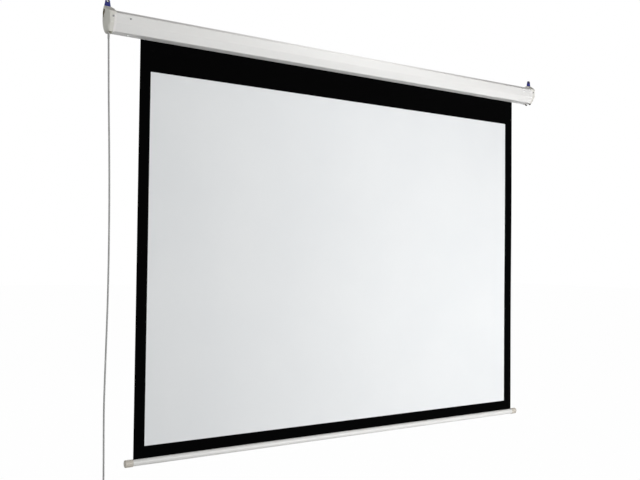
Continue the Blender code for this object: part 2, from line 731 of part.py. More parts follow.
def make_motor():
    """Bracket, fixed head, limit screws, motor tube and output shaft, from the left end inward."""
    bracket = bracket_blank("motor_bracket", -1)
    plate_outer = BRACKET_FROM_END - CASING_HALF
    plate_inner = plate_outer + BRACKET_THICKNESS
    through = BRACKET_THICKNESS + 2 * FIT_GAP
    half = HEAD_BOSS / 2
    boss_gap = half + FIT_GAP
    low = (plate_outer - FIT_GAP, MIDDLE_Y - boss_gap, ROLLER_Z - boss_gap)
    high = (plate_inner + FIT_GAP, MIDDLE_Y + boss_gap, ROLLER_Z + boss_gap)
    combine(bracket, box("motor_boss_hole", low, high, None), "DIFFERENCE")
    lead_y, lead_z = lead_hole()
    place = (plate_outer - FIT_GAP, lead_y, lead_z)
    drill(bracket, "motor_lead_hole", CORD_RADIUS + 2 * FIT_GAP, "+X", place, through)

    head_x = plate_inner + FIT_GAP
    place = (head_x, MIDDLE_Y, ROLLER_Z)
    head = cylinder("motor_head", HEAD_RADIUS, "+X", place, HEAD_LENGTH, black_plastic(), 48)
    low = (plate_outer, MIDDLE_Y - half, ROLLER_Z - half)
    high = (head_x + FIT_GAP, MIDDLE_Y + half, ROLLER_Z + half)
    combine(head, box("motor_boss", low, high, None), "UNION")

    for word, side in (("down", -1), ("up", 1)):
        y = MIDDLE_Y + side * LIMIT_SCREW_SPREAD
        z = ROLLER_Z + LIMIT_SCREW_RISE
        hole = LIMIT_SCREW_RADIUS + FIT_GAP
        start = plate_outer - FIT_GAP
        drill(bracket, f"limit_window_{word}", hole, "+X", (start, y, z), through)
        drill(head, f"limit_bore_{word}", hole, "+X", (start, y, z), through + LIMIT_SCREW_DEPTH + FIT_GAP)
        start = plate_outer - LIMIT_SCREW_PROUD
        length = head_x + LIMIT_SCREW_DEPTH - start
        place = (start, y, z)
        screw = cylinder(f"limit_screw_{word}", LIMIT_SCREW_RADIUS, "+X", place, length, brass(), 20)
        wide = LIMIT_SCREW_RADIUS * 2
        low = (start - LIMIT_SCREW_PROUD, y - wide, z - FIT_GAP)
        high = (start + LIMIT_SCREW_PROUD, y + wide, z + FIT_GAP)
        combine(screw, box(f"limit_slot_{word}", low, high, None), "DIFFERENCE")

    motor_x = head_x + HEAD_LENGTH + FIT_GAP
    radius = ROLLER_RADIUS - ROLLER_WALL - MOTOR_CLEARANCE
    cylinder("motor_tube", radius, "+X", (motor_x, MIDDLE_Y, ROLLER_Z), MOTOR_LENGTH, zinc_steel(), 40)
    shaft_x = motor_x + MOTOR_LENGTH + FIT_GAP
    place = (shaft_x, MIDDLE_Y, ROLLER_Z)
    cylinder("motor_shaft", SHAFT_RADIUS, "+X", place, SHAFT_LENGTH, zinc_steel(), 6)

    bore = SHAFT_RADIUS + FIT_GAP
    radius = ROLLER_RADIUS - ROLLER_WALL - FIT_GAP
    wheel_x = shaft_x + (SHAFT_LENGTH - WHEEL_LENGTH) / 2
    place = (wheel_x, MIDDLE_Y, ROLLER_Z)
    wheel = cylinder("drive_wheel", radius, "+X", place, WHEEL_LENGTH, black_plastic(), 40)
    place = (wheel_x - FIT_GAP, MIDDLE_Y, ROLLER_Z)
    drill(wheel, "wheel_hexagon", bore, "+X", place, WHEEL_LENGTH + 2 * FIT_GAP, 6)
    notch(wheel, wheel_x, WHEEL_LENGTH)

    place = (ROLLER_LEFT + FIT_GAP, MIDDLE_Y, ROLLER_Z)
    inner = ROLLER_RADIUS - ROLLER_WALL - MOTOR_CLEARANCE + RUNNING_GAP
    crown = ring("crown_ring", inner, radius, "+X", place, CROWN_LENGTH, black_plastic(), 40)
    notch(crown, place[0], CROWN_LENGTH)


def notch(target, start, length):
    """Cut the room for the roller's groove into the top of a wheel inside it."""
    half = GROOVE_WIDTH / 2 + ROLLER_WALL + FIT_GAP
    floor = ROLLER_Z + ROLLER_RADIUS - GROOVE_DEPTH - ROLLER_WALL - FIT_GAP
    low = (start - FIT_GAP, MIDDLE_Y - half, floor)
    high = (start + length + FIT_GAP, MIDDLE_Y + half, ROLLER_Z + ROLLER_RADIUS)
    return combine(target, box(f"{target.name}_notch", low, high, None), "DIFFERENCE")


def make_roller():
    """Grooved tube with the cloth's key and safety turns."""
    half = GROOVE_WIDTH / 2
    lip = math.degrees(math.asin(half / ROLLER_RADIUS))
    path = arc(MIDDLE_Y, ROLLER_Z, ROLLER_RADIUS, ROLLER_RADIUS, 90 + lip, 450 - lip, 48)
    floor = ROLLER_Z + ROLLER_RADIUS - GROOVE_DEPTH
    path += [(MIDDLE_Y + half, floor), (MIDDLE_Y - half, floor)]
    shell("roller_tube", path, "X", ROLLER_LEFT, ROLLER_RIGHT, ROLLER_WALL, zinc_steel(), True, 30)

    low = (CLOTH_LEFT, MIDDLE_Y - half + FIT_GAP, floor + FIT_GAP)
    high = (CLOTH_RIGHT, MIDDLE_Y + half - FIT_GAP, floor + FIT_GAP + KEY_HEIGHT)
    box("fabric_key", low, high, bar_plastic())
    path = arc(MIDDLE_Y, ROLLER_Z, TURNS_RADIUS, TURNS_RADIUS, 0, 360, 48)[:-1]
    shell("wound_turns", path, "X", CLOTH_LEFT, CLOTH_RIGHT, TURNS_THICKNESS, black_plastic(), True, 30)


def make_idler():
    """The roller's right end: plug, axle pin, bush and bracket."""
    radius = ROLLER_RADIUS - ROLLER_WALL - FIT_GAP
    bore = PIN_RADIUS + FIT_GAP
    face = IDLER_LENGTH + FIT_GAP
    rim = ROLLER_RADIUS - FIT_GAP
    profile = [
        (bore, face + IDLER_FLANGE),
        (rim, face + IDLER_FLANGE),
        (rim, face),
        (radius, face),
        (radius, 0),
        (bore, 0),
    ]
    place = (ROLLER_RIGHT - IDLER_LENGTH, MIDDLE_Y, ROLLER_Z)
    plug = turned("idler_plug", profile, "+X", place, black_plastic(), 40, closed=True)
    notch(plug, place[0], IDLER_LENGTH)
    pin_x = CASING_HALF - BRACKET_FROM_END + FIT_GAP + BRACKET_THICKNESS - PIN_LENGTH
    cylinder("idler_pin", PIN_RADIUS, "+X", (pin_x, MIDDLE_Y, ROLLER_Z), PIN_LENGTH, zinc_steel(), 24)

    bracket = bracket_blank("idler_bracket", 1)
    plate_inner = CASING_HALF - BRACKET_FROM_END - BRACKET_THICKNESS
    place = (plate_inner - FIT_GAP, MIDDLE_Y, ROLLER_Z)
    through = BRACKET_THICKNESS + 2 * FIT_GAP
    drill(bracket, "bush_hole", BUSH_RADIUS + FIT_GAP, "+X", place, through, 32)
    profile = [
        (BUSH_RADIUS, through),
        (BUSH_RADIUS, 0),
        (BUSH_FLANGE_RADIUS, 0),
        (BUSH_FLANGE_RADIUS, -BUSH_FLANGE),
        (PIN_RADIUS + RUNNING_GAP, -BUSH_FLANGE),
        (PIN_RADIUS + RUNNING_GAP, through),
    ]
    turned("bearing_bush", profile, "+X", place, bar_plastic(), 32, closed=True)


def screw_mesh():
    """Pan head screw with a crossed recess, head up, its seat at height 0."""
    crown = arc(0, 0, SCREW_HEAD_RADIUS, SCREW_HEAD_HEIGHT, 90, 0, 3)
    profile = crown + [(SCREW_RADIUS, 0), (SCREW_RADIUS, -SCREW_LENGTH), (0, -SCREW_LENGTH)]
    profile[0] = (0, SCREW_HEAD_HEIGHT)
    screw = turned("screw_pattern", profile, "+Z", (0, 0, 0), zinc_steel(), 16)
    long = RECESS_REACH
    thin = RECESS_HALF_WIDTH
    top = 2 * SCREW_HEAD_HEIGHT
    for word, half_x, half_y in (("a", long, thin), ("b", thin, long)):
        low = (-half_x, -half_y, RECESS_FLOOR)
        recess = box(f"screw_recess_{word}", low, (half_x, half_y, top), None)
        combine(screw, recess, "DIFFERENCE")
    bpy.context.view_layer.update()
    evaluated = screw.evaluated_get(bpy.context.evaluated_depsgraph_get())
    mesh = bpy.data.meshes.new_from_object(evaluated)
    for name in ("screw_pattern", "screw_recess_a", "screw_recess_b"):
        bpy.data.objects.remove(bpy.data.objects[name], do_unlink=True)
    return mesh


def make_screws():
    """Two screws through each cap and two through each end of the casing."""
    mesh = screw_mesh()
    front = -CASING_DEPTH - FIT_GAP
    bottom = CASING_BOTTOM - FIT_GAP
    for word, side in SIDES.items():
        places = (
            ("cap_screw_front", CAP_SCREW_INSET, front - CAP_PROUD, SCREW_LEVEL, "-Y"),
            ("case_screw_front", CASE_SCREW_INSET, front, SCREW_LEVEL, "-Y"),
            ("cap_screw_under", CAP_SCREW_UNDER_INSET, MIDDLE_Y, bottom - CAP_PROUD, "-Z"),
            ("case_screw_under", CASE_SCREW_UNDER_INSET, MIDDLE_Y, bottom, "-Z"),
        )
        for name, inset, y, z, facing in places:
            screw = bpy.data.objects.new(f"{name}_{word}", mesh)
            bpy.data.collections[PARTS].objects.link(screw)
            screw.location = (side * (CASING_HALF - inset), y, z)
            screw.rotation_euler = TURNS_TO[facing]


def make_feet():
    """Small rubber buffers under the caps: one at the left, two at the right."""
    places = (
        ("foot_left", -1, FOOT_FRONT),
        ("foot_right_front", 1, FOOT_FRONT),
        ("foot_right_rear", 1, FOOT_REAR),
    )
    top = CASING_BOTTOM - CAP_PROUD - FIT_GAP
    soft = FOOT_RADIUS / 3
    profile = [(0, 0), (FOOT_RADIUS, 0)]
    profile += arc(FOOT_RADIUS - soft, soft - FOOT_HEIGHT, soft, soft, 0, -90, 3)
    profile.append((0, -FOOT_HEIGHT))
    for name, side, shift in places:
        place = (side * (CASING_HALF - FOOT_INSET), MIDDLE_Y + shift, top)
        turned(name, profile, "+Z", place, dark_rubber(), 24)


def smooth_route(points, spacing):
    """Points at an even spacing along a smooth curve through the given ones."""
    knots = [Vector(p) for p in points]
    padded = [2 * knots[0] - knots[1]] + knots + [2 * knots[-1] - knots[-2]]
    dense = []
    fine = 40
    for a, b, c, d in zip(padded, padded[1:], padded[2:], padded[3:]):
        for step in range(fine):
            t = step / fine
            bend = 2 * a - 5 * b + 4 * c - d
            twist = 3 * b - a - 3 * c + d
            dense.append((2 * b + (c - a) * t + bend * t * t + twist * t * t * t) / 2)
    dense.append(knots[-1])
    length = sum((q - p).length for p, q in zip(dense, dense[1:]))
    count = max(2, round(length / spacing))
    route = [dense[0]]
    walked = 0.0
    for p, q in zip(dense, dense[1:]):
        stretch = (q - p).length
        while len(route) < count and walked + stretch >= length * len(route) / count:
            wanted = length * len(route) / count
            route.append(p.lerp(q, (wanted - walked) / stretch))
        walked += stretch
    route.append(dense[-1])
    return route


def coil_route():
    """The coil's centreline: a straight lead-in from above, the loops, and a straight end below."""
    centre_x = COIL_X + COIL_RADIUS
    route = [Vector((COIL_X, CORD_Y, COIL_CENTRE + COIL_LEAD))]
    for step in range(COIL_TURNS * COIL_POINTS + 1):
        turn = step / COIL_POINTS
        angle = math.pi + 2 * math.pi * turn
        x = centre_x + COIL_RADIUS * math.cos(angle)
        z = COIL_CENTRE + COIL_RADIUS * math.sin(angle)
        route.append(Vector((x, CORD_Y - COIL_PITCH * turn, z)))
    route.append(Vector((COIL_X, COIL_END_Y, COIL_CENTRE - COIL_END / 2)))
    route.append(Vector((COIL_X, COIL_END_Y, COIL_CENTRE - COIL_END)))
    return route


def least_gap(route, radius):
    """The least gap of a tube to itself, measured between points that are not close along it."""
    apart = 4 * radius
    reach = [0.0]
    for p, q in zip(route, route[1:]):
        reach.append(reach[-1] + (q - p).length)
    gaps = []
    for i, p in enumerate(route):
        for j in range(i + 1, len(route)):
            if reach[j] - reach[i] > apart:
                gaps.append((route[j] - p).length - 2 * radius)
    return min(gaps)


def make_cord():
    """Gland with its tapered strain relief, inner lead, the hanging cord, its coil with a tie, and the plug."""
    gland_z = CASING_BOTTOM - CAP_PROUD
    wall_top = gland_z + CAP_PROUD - MOUTH_GAP + FIT_GAP
    profile = [
        (0, wall_top + GLAND_ABOVE),
        (GLAND_FLANGE, wall_top + GLAND_ABOVE),
        (GLAND_FLANGE, wall_top),
        (GLAND_BARREL, wall_top),
        (GLAND_BARREL, gland_z - FIT_GAP),
        (GLAND_FLANGE, gland_z - FIT_GAP),
        (GLAND_BARREL, gland_z - FIT_GAP - GLAND_BELOW),
        (RELIEF_END_RADIUS, gland_z - FIT_GAP - RELIEF_LENGTH),
        (0, gland_z - FIT_GAP - RELIEF_LENGTH),
    ]
    turned("cable_gland", profile, "+Z", (CORD_X, CORD_Y, 0), dark_rubber(), 24)

    lead_y, lead_z = lead_hole()
    head_x = BRACKET_FROM_END - CASING_HALF + BRACKET_THICKNESS
    foot = wall_top + GLAND_ABOVE + FIT_GAP
    lead = [
        (CORD_X, CORD_Y, foot),
        (CORD_X, CORD_Y, foot + CORD_RADIUS),
        (CORD_X + CORD_RADIUS, CORD_Y, lead_z - CORD_RADIUS),
        (CORD_X + 4 * CORD_RADIUS, lead_y, lead_z),
        (head_x - FIT_GAP, lead_y, lead_z),
    ]
    tube("motor_lead", smooth_route(lead, CORD_RADIUS), CORD_RADIUS, 2, grey_cord())

    coil = coil_route()
    end = COIL_CENTRE + COIL_LEAD + FIT_GAP
    hang = [
        (CORD_X, CORD_Y, CORD_TOP),
        (CORD_X + 0.0010, CORD_Y, -0.120),
        (CORD_X + 0.0048, CORD_Y, -0.300),
        (CORD_X + 0.0105, CORD_Y, -0.500),
        (CORD_X + 0.0146, CORD_Y, -0.700),
        (CORD_X + 0.0162, CORD_Y, -0.900),
        (CORD_X + 0.0154, CORD_Y, -1.100),
        (CORD_X + 0.0118, CORD_Y, -1.300),
        (CORD_X + 0.0088, CORD_Y, -1.480),
        (CORD_X + 0.0096, CORD_Y, -1.600),
        (CORD_X + 0.0117, CORD_Y, -1.740),
        (COIL_X, CORD_Y, -1.810),
        (COIL_X, CORD_Y, end),
    ]
    tube("power_cord", smooth_route(hang, CORD_STEP), CORD_RADIUS, 2, grey_cord())
    tube("cord_coil", coil, CORD_RADIUS, 1, grey_cord())
    print(f"least gap of the coil to itself: {least_gap(coil, CORD_RADIUS) * 1000:.2f} mm")
    make_tie()
    make_plug()


def make_tie():
    """A strap round the strands at the side of the coil away from the hanging cord."""
    centre_x = COIL_X + 2 * COIL_RADIUS
    centre_y = CORD_Y - COIL_PITCH * COIL_TURNS / 2
    half_x = CORD_RADIUS + TIE_SLACK + FIT_GAP + TIE_THICKNESS
    half_y = COIL_PITCH * (COIL_TURNS - 1) / 2 + half_x
    corners = [
        (centre_x - half_x, centre_y - half_y),
        (centre_x + half_x, centre_y - half_y),
        (centre_x + half_x, centre_y + half_y),
        (centre_x - half_x, centre_y + half_y),
    ]
    path = rounded(corners, 2 * TIE_THICKNESS)
    low = COIL_CENTRE - TIE_HEIGHT / 2
    high = COIL_CENTRE + TIE_HEIGHT / 2
    shell("cord_tie", path, "Z", low, high, TIE_THICKNESS, black_plastic(), True, 30)


def make_plug():
    """A straight two-pin plug that hangs from the coil's end, pins down."""
    neck = -PLUG_RELIEF - PLUG_NECK
    face = neck - PLUG_BODY
    profile = [
        (0, 0),
        (PLUG_RELIEF_RADIUS, 0),
        (PLUG_NECK_RADIUS, -PLUG_RELIEF),
        (PLUG_RADIUS, neck),
        (PLUG_RADIUS, face),
        (0, face),
    ]
    place = (COIL_X, COIL_END_Y, PLUG_TOP)
    plug = turned("plug_body", profile, "+Z", place, black_plastic(), 36)
    for word, side in SIDES.items():
        x = COIL_X + side * PLUG_PIN_SPREAD
        seat = PLUG_TOP + face + PLUG_PIN_SEAT
        radius = PLUG_PIN_RADIUS + FIT_GAP
        bottom = (x, COIL_END_Y, PLUG_TOP + face - FIT_GAP)
        drill(plug, f"plug_pin_seat_{word}", radius, "+Z", bottom, PLUG_PIN_SEAT + 2 * FIT_GAP)
        pin = (x, COIL_END_Y, seat)
        length = PLUG_PIN_SEAT + PLUG_PIN_LENGTH
        cylinder(f"plug_pin_{word}", PLUG_PIN_RADIUS, "-Z", pin, length, brass(), 20)


def make_cloth():
    half = CLOTH_THICKNESS / 2
    low = (CLOTH_LEFT, CLOTH_Y - half, BAR_TOP)
    high = (CLOTH_RIGHT, CLOTH_Y + half, ROLLER_Z)
    return box("screen_fabric", low, high, cloth_white())


def make_weight_bar():
    """Oval slotted tube with the hem's spline and a steel rod in it, and a cap on each end."""
    lip = math.degrees(math.asin(BAR_SLOT_HALF / BAR_HALF_DEPTH))
    path = arc(CLOTH_Y, BAR_CENTRE, BAR_HALF_DEPTH, BAR_HALF_HEIGHT, 90 + lip, 450 - lip, 32)
    left = CLOTH_OFFSET - BAR_HALF
    right = CLOTH_OFFSET + BAR_HALF
    shell("weight_bar", path, "X", left, right, BAR_WALL, painted_white(), False, 30)

    bead_z = BAR_TOP - BAR_WALL - SPLINE_BEAD - 2 * FIT_GAP
    spread = math.degrees(math.asin(SPLINE_HALF_WEB / SPLINE_BEAD))
    bead = arc(CLOTH_Y, bead_z, SPLINE_BEAD, SPLINE_BEAD, 90 + spread, 450 - spread, 16)
    top = BAR_TOP - FIT_GAP
    outline = bead + [(CLOTH_Y + SPLINE_HALF_WEB, top), (CLOTH_Y - SPLINE_HALF_WEB, top)]
    prism("hem_spline", outline, "X", CLOTH_LEFT, CLOTH_RIGHT, bar_plastic(), 30)

    rod_z = BAR_TOP - 2 * BAR_HALF_HEIGHT + BAR_WALL + FIT_GAP + ROD_RADIUS
    place = (left + ROD_INSET, CLOTH_Y, rod_z)
    cylinder("weight_rod", ROD_RADIUS, "+X", place, right - left - 2 * ROD_INSET, zinc_steel(), 24)

    for word, side in SIDES.items():
        facing = "-X" if side < 0 else "+X"
        mouth = CLOTH_OFFSET + side * (CLOTH_HALF + BAR_OVERHANG)
        round_at = BAR_CAP_LENGTH - BAR_CAP_ROUND
        rim = BAR_CAP_HALF_HEIGHT - BAR_CAP_ROUND
        edge = arc(rim, round_at, BAR_CAP_ROUND, BAR_CAP_ROUND, 90, 0, 4)
        profile = [(0, BAR_CAP_LENGTH)] + edge + [(BAR_CAP_HALF_HEIGHT, 0), (0, 0)]
        place = (mouth, CLOTH_Y, BAR_CENTRE)
        cap = turned(f"bar_cap_{word}", profile, facing, place, bar_plastic(), 36)
        cap.scale = (1, BAR_CAP_HALF_DEPTH / BAR_CAP_HALF_HEIGHT, 1)
        deep = BAR_HALF_DEPTH + FIT_GAP
        tall = BAR_HALF_HEIGHT + FIT_GAP
        seat = arc(CLOTH_Y, BAR_CENTRE, deep, tall, 0, 360, 32)[:-1]
        start = mouth - side * BAR_CAP_ROUND
        end = mouth + side * (BAR_IN_CAP + FIT_GAP)
        combine(cap, prism(f"bar_cap_seat_{word}", seat, "X", start, end, None), "DIFFERENCE")


def main():
    start_scene()
    make_casing()
    for word, side in SIDES.items():
        make_end_cap(word, side)
        make_hanger_plate(word, side)
        make_ear(word, side)
    make_motor()
    make_roller()
    make_idler()
    make_screws()
    make_feet()
    make_cord()
    make_cloth()
    make_weight_bar()
    bpy.context.view_layer.update()


main()
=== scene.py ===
"""Motorised projector screen, let down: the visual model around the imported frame.

Metres, +Z up. The origin is the centre of the casing's flat rear face, the screen faces -Y and the
wall is at +Y. The roller turns about X, and the weight bar slides along Z.
"""

import json
import logging
import math
from collections.abc import Iterable, Sequence
from dataclasses import dataclass, replace
from enum import Enum

import bmesh
import bpy
from mathutils import Matrix, Vector
from mathutils.geometry import delaunay_2d_cdt

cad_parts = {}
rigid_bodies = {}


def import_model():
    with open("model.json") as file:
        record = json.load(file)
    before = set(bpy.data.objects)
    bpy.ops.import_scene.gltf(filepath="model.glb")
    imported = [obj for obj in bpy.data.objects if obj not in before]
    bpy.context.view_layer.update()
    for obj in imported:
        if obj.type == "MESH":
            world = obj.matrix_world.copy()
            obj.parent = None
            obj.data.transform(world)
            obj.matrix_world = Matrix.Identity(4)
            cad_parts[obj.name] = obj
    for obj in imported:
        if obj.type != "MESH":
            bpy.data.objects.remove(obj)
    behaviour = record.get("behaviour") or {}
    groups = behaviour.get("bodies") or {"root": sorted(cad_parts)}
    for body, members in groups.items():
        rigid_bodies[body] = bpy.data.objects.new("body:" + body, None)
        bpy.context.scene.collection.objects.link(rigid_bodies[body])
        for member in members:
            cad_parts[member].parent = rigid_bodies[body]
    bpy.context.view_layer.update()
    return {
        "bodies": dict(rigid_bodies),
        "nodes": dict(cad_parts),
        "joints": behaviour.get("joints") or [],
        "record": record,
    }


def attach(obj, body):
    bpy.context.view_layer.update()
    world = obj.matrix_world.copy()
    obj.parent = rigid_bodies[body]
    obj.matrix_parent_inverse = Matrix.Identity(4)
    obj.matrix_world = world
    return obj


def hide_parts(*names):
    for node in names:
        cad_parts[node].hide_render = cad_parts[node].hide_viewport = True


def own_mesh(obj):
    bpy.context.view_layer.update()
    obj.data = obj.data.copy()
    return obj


LOG = logging.getLogger("projector_screen")

Colour = tuple[float, float, float]
Place = tuple[float, float, float]
Flat = tuple[float, float]
Socket = bpy.types.NodeSocket
Piece = bpy.types.Object
Ring = list[bmesh.types.BMVert]

HAIR = 0.0003
"""Gap between pieces that touch, so that no two share a face."""
SMOOTH = 35.0
"""Faces that meet at less than this angle, in degrees, shade as one."""
SECTION = (1, 2)
"""The coordinates of a section across X."""
FULL = (0.0, 1.0)
FALLING = (1.0, 0.0)
"""Ranges that a value is spread to."""
MIDDLE = (0.35, 0.65)
WIDE_MIDDLE = (0.3, 0.7)
"""Where most of a noise's values lie, and nearly all of them."""
WHITE = (1.0, 1.0, 1.0)


class Body(Enum):
    """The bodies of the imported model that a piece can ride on."""

    HOUSING = "housing"
    ROLLER = "roller"
    BAR = "bar"


class Slot(Enum):
    """The record's material slots."""

    WHITE_PAINT = "white_paint"
    CAP_PLASTIC = "cap_plastic"
    BLUE_PLASTIC = "blue_plastic"
    BLACK_PLASTIC = "black_plastic"
    PASSIVATED_STEEL = "passivated_steel"
    SCREW_STEEL = "screw_steel"
    DARK_RUBBER = "dark_rubber"
    GREY_CORD = "grey_cord"
    TIE_FABRIC = "tie_fabric"
    PLUG_PLASTIC = "plug_plastic"
    PLUG_METAL = "plug_metal"
    SCREEN_CLOTH = "screen_cloth"
    BLACK_CLOTH = "black_cloth"
    BAR_CAP_PLASTIC = "bar_cap_plastic"


class Side(Enum):
    """The two ends of the screen, as the sign of X."""

    LEFT = -1
    RIGHT = 1

    @property
    def word(self) -> str:
        """The end's name in the pieces' names."""
        return self.name.lower()


class Facing(Enum):
    """The way that a turned piece's axis points, as the turn about X that takes +Z there."""

    PLUS_Y = -math.pi / 2
    MINUS_Y = math.pi / 2
    MINUS_Z = math.pi

    def matrix(self, place: Place) -> Matrix:
        """The turn to this facing, and then the move from the origin to the place."""
        return Matrix.Translation(place) @ Matrix.Rotation(self.value, 4, "X")


@dataclass(frozen=True)
class Layout:
    """Sizes that more than one sub-assembly needs, all taken from the CAD."""

    casing_half: float = 1.163
    casing_depth: float = 0.084
    casing_bottom: float = -0.048
    casing_top: float = 0.033
    facet: float = 0.019
    lower_inset: float = 0.019
    top_inset: float = 0.018
    cap_proud: float = 0.002
    seat_gap: float = 0.00025
    ear_x: float = 1.1687
    ridge_top: float = 0.051
    roller_z: float = -0.0085
    cloth_left: float = -1.0265
    cloth_right: float = 1.0685
    cloth_y: float = -0.01450
    cloth_thickness: float = 0.0005
    bar_top: float = -1.720
    cord_x: float = -1.160
    cord_y: float = -0.0345

    @property
    def middle_y(self) -> float:
        """The casing's middle, front to back."""
        return -self.casing_depth / 2

    @property
    def under_cap(self) -> float:
        """The height of the caps' underside."""
        return self.casing_bottom - self.cap_proud

    @property
    def cloth_centre(self) -> float:
        """The middle of the cloth's width."""
        return (self.cloth_left + self.cloth_right) / 2

    @property
    def cloth_half(self) -> float:
        """Half of the cloth's width."""
        return (self.cloth_right - self.cloth_left) / 2

    @property
    def cloth_drop(self) -> float:
        """The cloth's length from the roller's axis to the weight bar."""
        return self.roller_z - self.bar_top

    def section(self) -> list[Flat]:
        """The casing's outer section.

        Returns:
            Its corners as (y, z), counter-clockwise from the bottom rear one.
        """
        front = -self.casing_depth
        return [
            (-self.lower_inset, self.casing_bottom),
            (0.0, -self.facet),
            (0.0, self.facet),
            (-self.top_inset, self.casing_top),
            (front + self.top_inset, self.casing_top),
            (front, self.facet),
            (front, -self.facet),
            (front + self.lower_inset, self.casing_bottom),
        ]


LAYOUT = Layout()


class NodeBench:
    """Short calls for laying out the nodes of one material, or of the world."""

    def __init__(self, owner: bpy.types.Material | bpy.types.World) -> None:
        """Start from the owner's first nodes.

        Args:
            owner: the new material or world.
        """
        owner.use_nodes = True
        self.owner = owner
        self.tree = owner.node_tree
        self.shader = self.tree.nodes.get("Principled BSDF")

    def add(self, kind: str, **settings: object) -> bpy.types.Node:
        """Add a node.

        Args:
            kind: the node's type name after "ShaderNode".
            settings: properties to set on it.

        Returns:
            The node.
        """
        node = self.tree.nodes.new(f"ShaderNode{kind}")
        for key, value in settings.items():
            setattr(node, key, value)
        return node

    def join(self, source: Socket, target: Socket) -> None:
        """Link an output to an input."""
        self.tree.links.new(source, target)

    def feed(self, name: str, source: Socket) -> None:
        """Link an output to the shader's input of the given name."""
        self.join(source, self.shader.inputs[name])

    def settings(self, **values: float | tuple[float, ...]) -> None:
        """Set plain values on the shader's own sockets, named with _ for a space."""
        for key, value in values.items():
            self.shader.inputs[key.replace("_", " ")].default_value = value

    def coordinates(
        self, stretch: Place = (1.0, 1.0, 1.0), carrier: Piece | None = None
    ) -> Socket:
        """Object coordinates in metres, stretched along the axes.

        Args:
            stretch: how much finer a texture is along each axis.
            carrier: the object whose space is used, if it isn't the piece's own.

        Returns:
            The vector output.
        """
        source = self.add("TexCoord", object=carrier)
        mapping = self.add("Mapping")
        mapping.inputs["Scale"].default_value = stretch
        self.join(source.outputs["Object"], mapping.inputs["Vector"])
        return mapping.outputs["Vector"]

    def split(self, where: Socket) -> tuple[Socket, ...]:
        """The parts of a vector.

        Args:
            where: the vector output.

        Returns:
            The outputs for X, Y and Z.
        """
        node = self.add("SeparateXYZ")
        self.join(where, node.inputs["Vector"])
        return tuple(node.outputs)

    def noise(self, where: Socket, scale: float, detail: float = 3.0) -> Socket:
        """Noise from 0 to 1.

        Args:
            where: the vector that it lies in.
            scale: its cells per metre.
            detail: how many finer layers it has.

        Returns:
            The value output.
        """
        node = self.add("TexNoise")
        node.inputs["Scale"].default_value = scale
        node.inputs["Detail"].default_value = detail
        self.join(where, node.inputs["Vector"])
        return node.outputs["Fac"]

    def spread(self, value: Socket, source: Flat, target: Flat) -> Socket:
        """A value moved from one range to another and clamped to it.

        Args:
            value: the output to change.
            source: the range that it comes from.
            target: the range that it goes to.

        Returns:
            The new value's output.
        """
        node = self.add("MapRange")
        for name, number in zip(("From Min", "From Max", "To Min", "To Max"), (*source, *target)):
            node.inputs[name].default_value = number
        self.join(value, node.inputs["Value"])
        return node.outputs["Result"]

    def blend(self, share: Socket, first: Colour | Socket, second: Colour | Socket) -> Socket:
        """A colour between two, which are given as numbers or as outputs.

        Args:
            share: 0 for the first colour, 1 for the second.
            first: the colour at 0.
            second: the colour at 1.

        Returns:
            The colour output.
        """
        node = self.add("Mix", data_type="RGBA")
        self.join(share, node.inputs[0])
        for socket, colour in ((node.inputs[6], first), (node.inputs[7], second)):
            if isinstance(colour, tuple):
                socket.default_value = (*colour, 1.0)
            else:
                self.join(colour, socket)
        return node.outputs[2]

    def maths(self, operation: str, first: Socket, second: Socket | float) -> Socket:
        """A Math node.

        Args:
            operation: what it does.
            first: the output that it takes.
            second: the other output or number.

        Returns:
            The value output.
        """
        node = self.add("Math", operation=operation)
        self.join(first, node.inputs[0])
        if isinstance(second, float):
            node.inputs[1].default_value = second
        else:
            self.join(second, node.inputs[1])
        return node.outputs[0]

    def relief(self, height: Socket, depth: float, strength: float = 1.0) -> None:
        """Bump the shader's normal.

        Args:
            height: the height map, from 0 to 1.
            depth: its depth in metres.
            strength: the share of it that shows.
        """
        node = self.add("Bump")
        node.inputs["Strength"].default_value = strength
        node.inputs["Distance"].default_value = depth
        self.join(height, node.inputs["Height"])
        self.feed("Normal", node.outputs["Normal"])

    def weave(self, where: Socket, threads: float) -> Socket:
        """Height of a plain weave across X and Z.

        Args:
            where: the vector that the threads are laid out in.
            threads: threads per metre in each direction.

        Returns:
            The height output, from 0 to 1.
        """
        heights = []
        for direction in ("X", "Z"):
            wave = self.add("TexWave", wave_type="BANDS", bands_direction=direction)
            wave.inputs["Scale"].default_value = threads / 2 / math.pi
            wave.inputs["Distortion"].default_value = 0.6
            wave.inputs["Detail Scale"].default_value = 3.0
            self.join(where, wave.inputs["Vector"])
            heights.append(wave.outputs["Fac"])
        return self.maths("MAXIMUM", *heights)

    def seen(self) -> Socket:
        """Which rays show the surround.

        Returns:
            An output that is 1 for camera, glossy and transmission rays.
        """
        path = self.add("LightPath")
        total = path.outputs["Is Camera Ray"]
        for name in ("Is Glossy Ray", "Is Transmission Ray"):
            total = self.maths("MAXIMUM", total, path.outputs[name])
        return total


@dataclass(frozen=True)
class Surface:
    """A named finish, whose material is made on first use."""

    name: str

    def dress(self, bench: NodeBench) -> None:
        """Lay out the finish's nodes, which each kind of finish does in its own way."""
        raise NotImplementedError

    def material(self) -> bpy.types.Material:
        """The finish's material.

        Returns:
            The one that was made before, or a new one.
        """
        made = bpy.data.materials.get(self.name)
        if made is None:
            made = bpy.data.materials.new(self.name)
            self.dress(NodeBench(made))
        return made


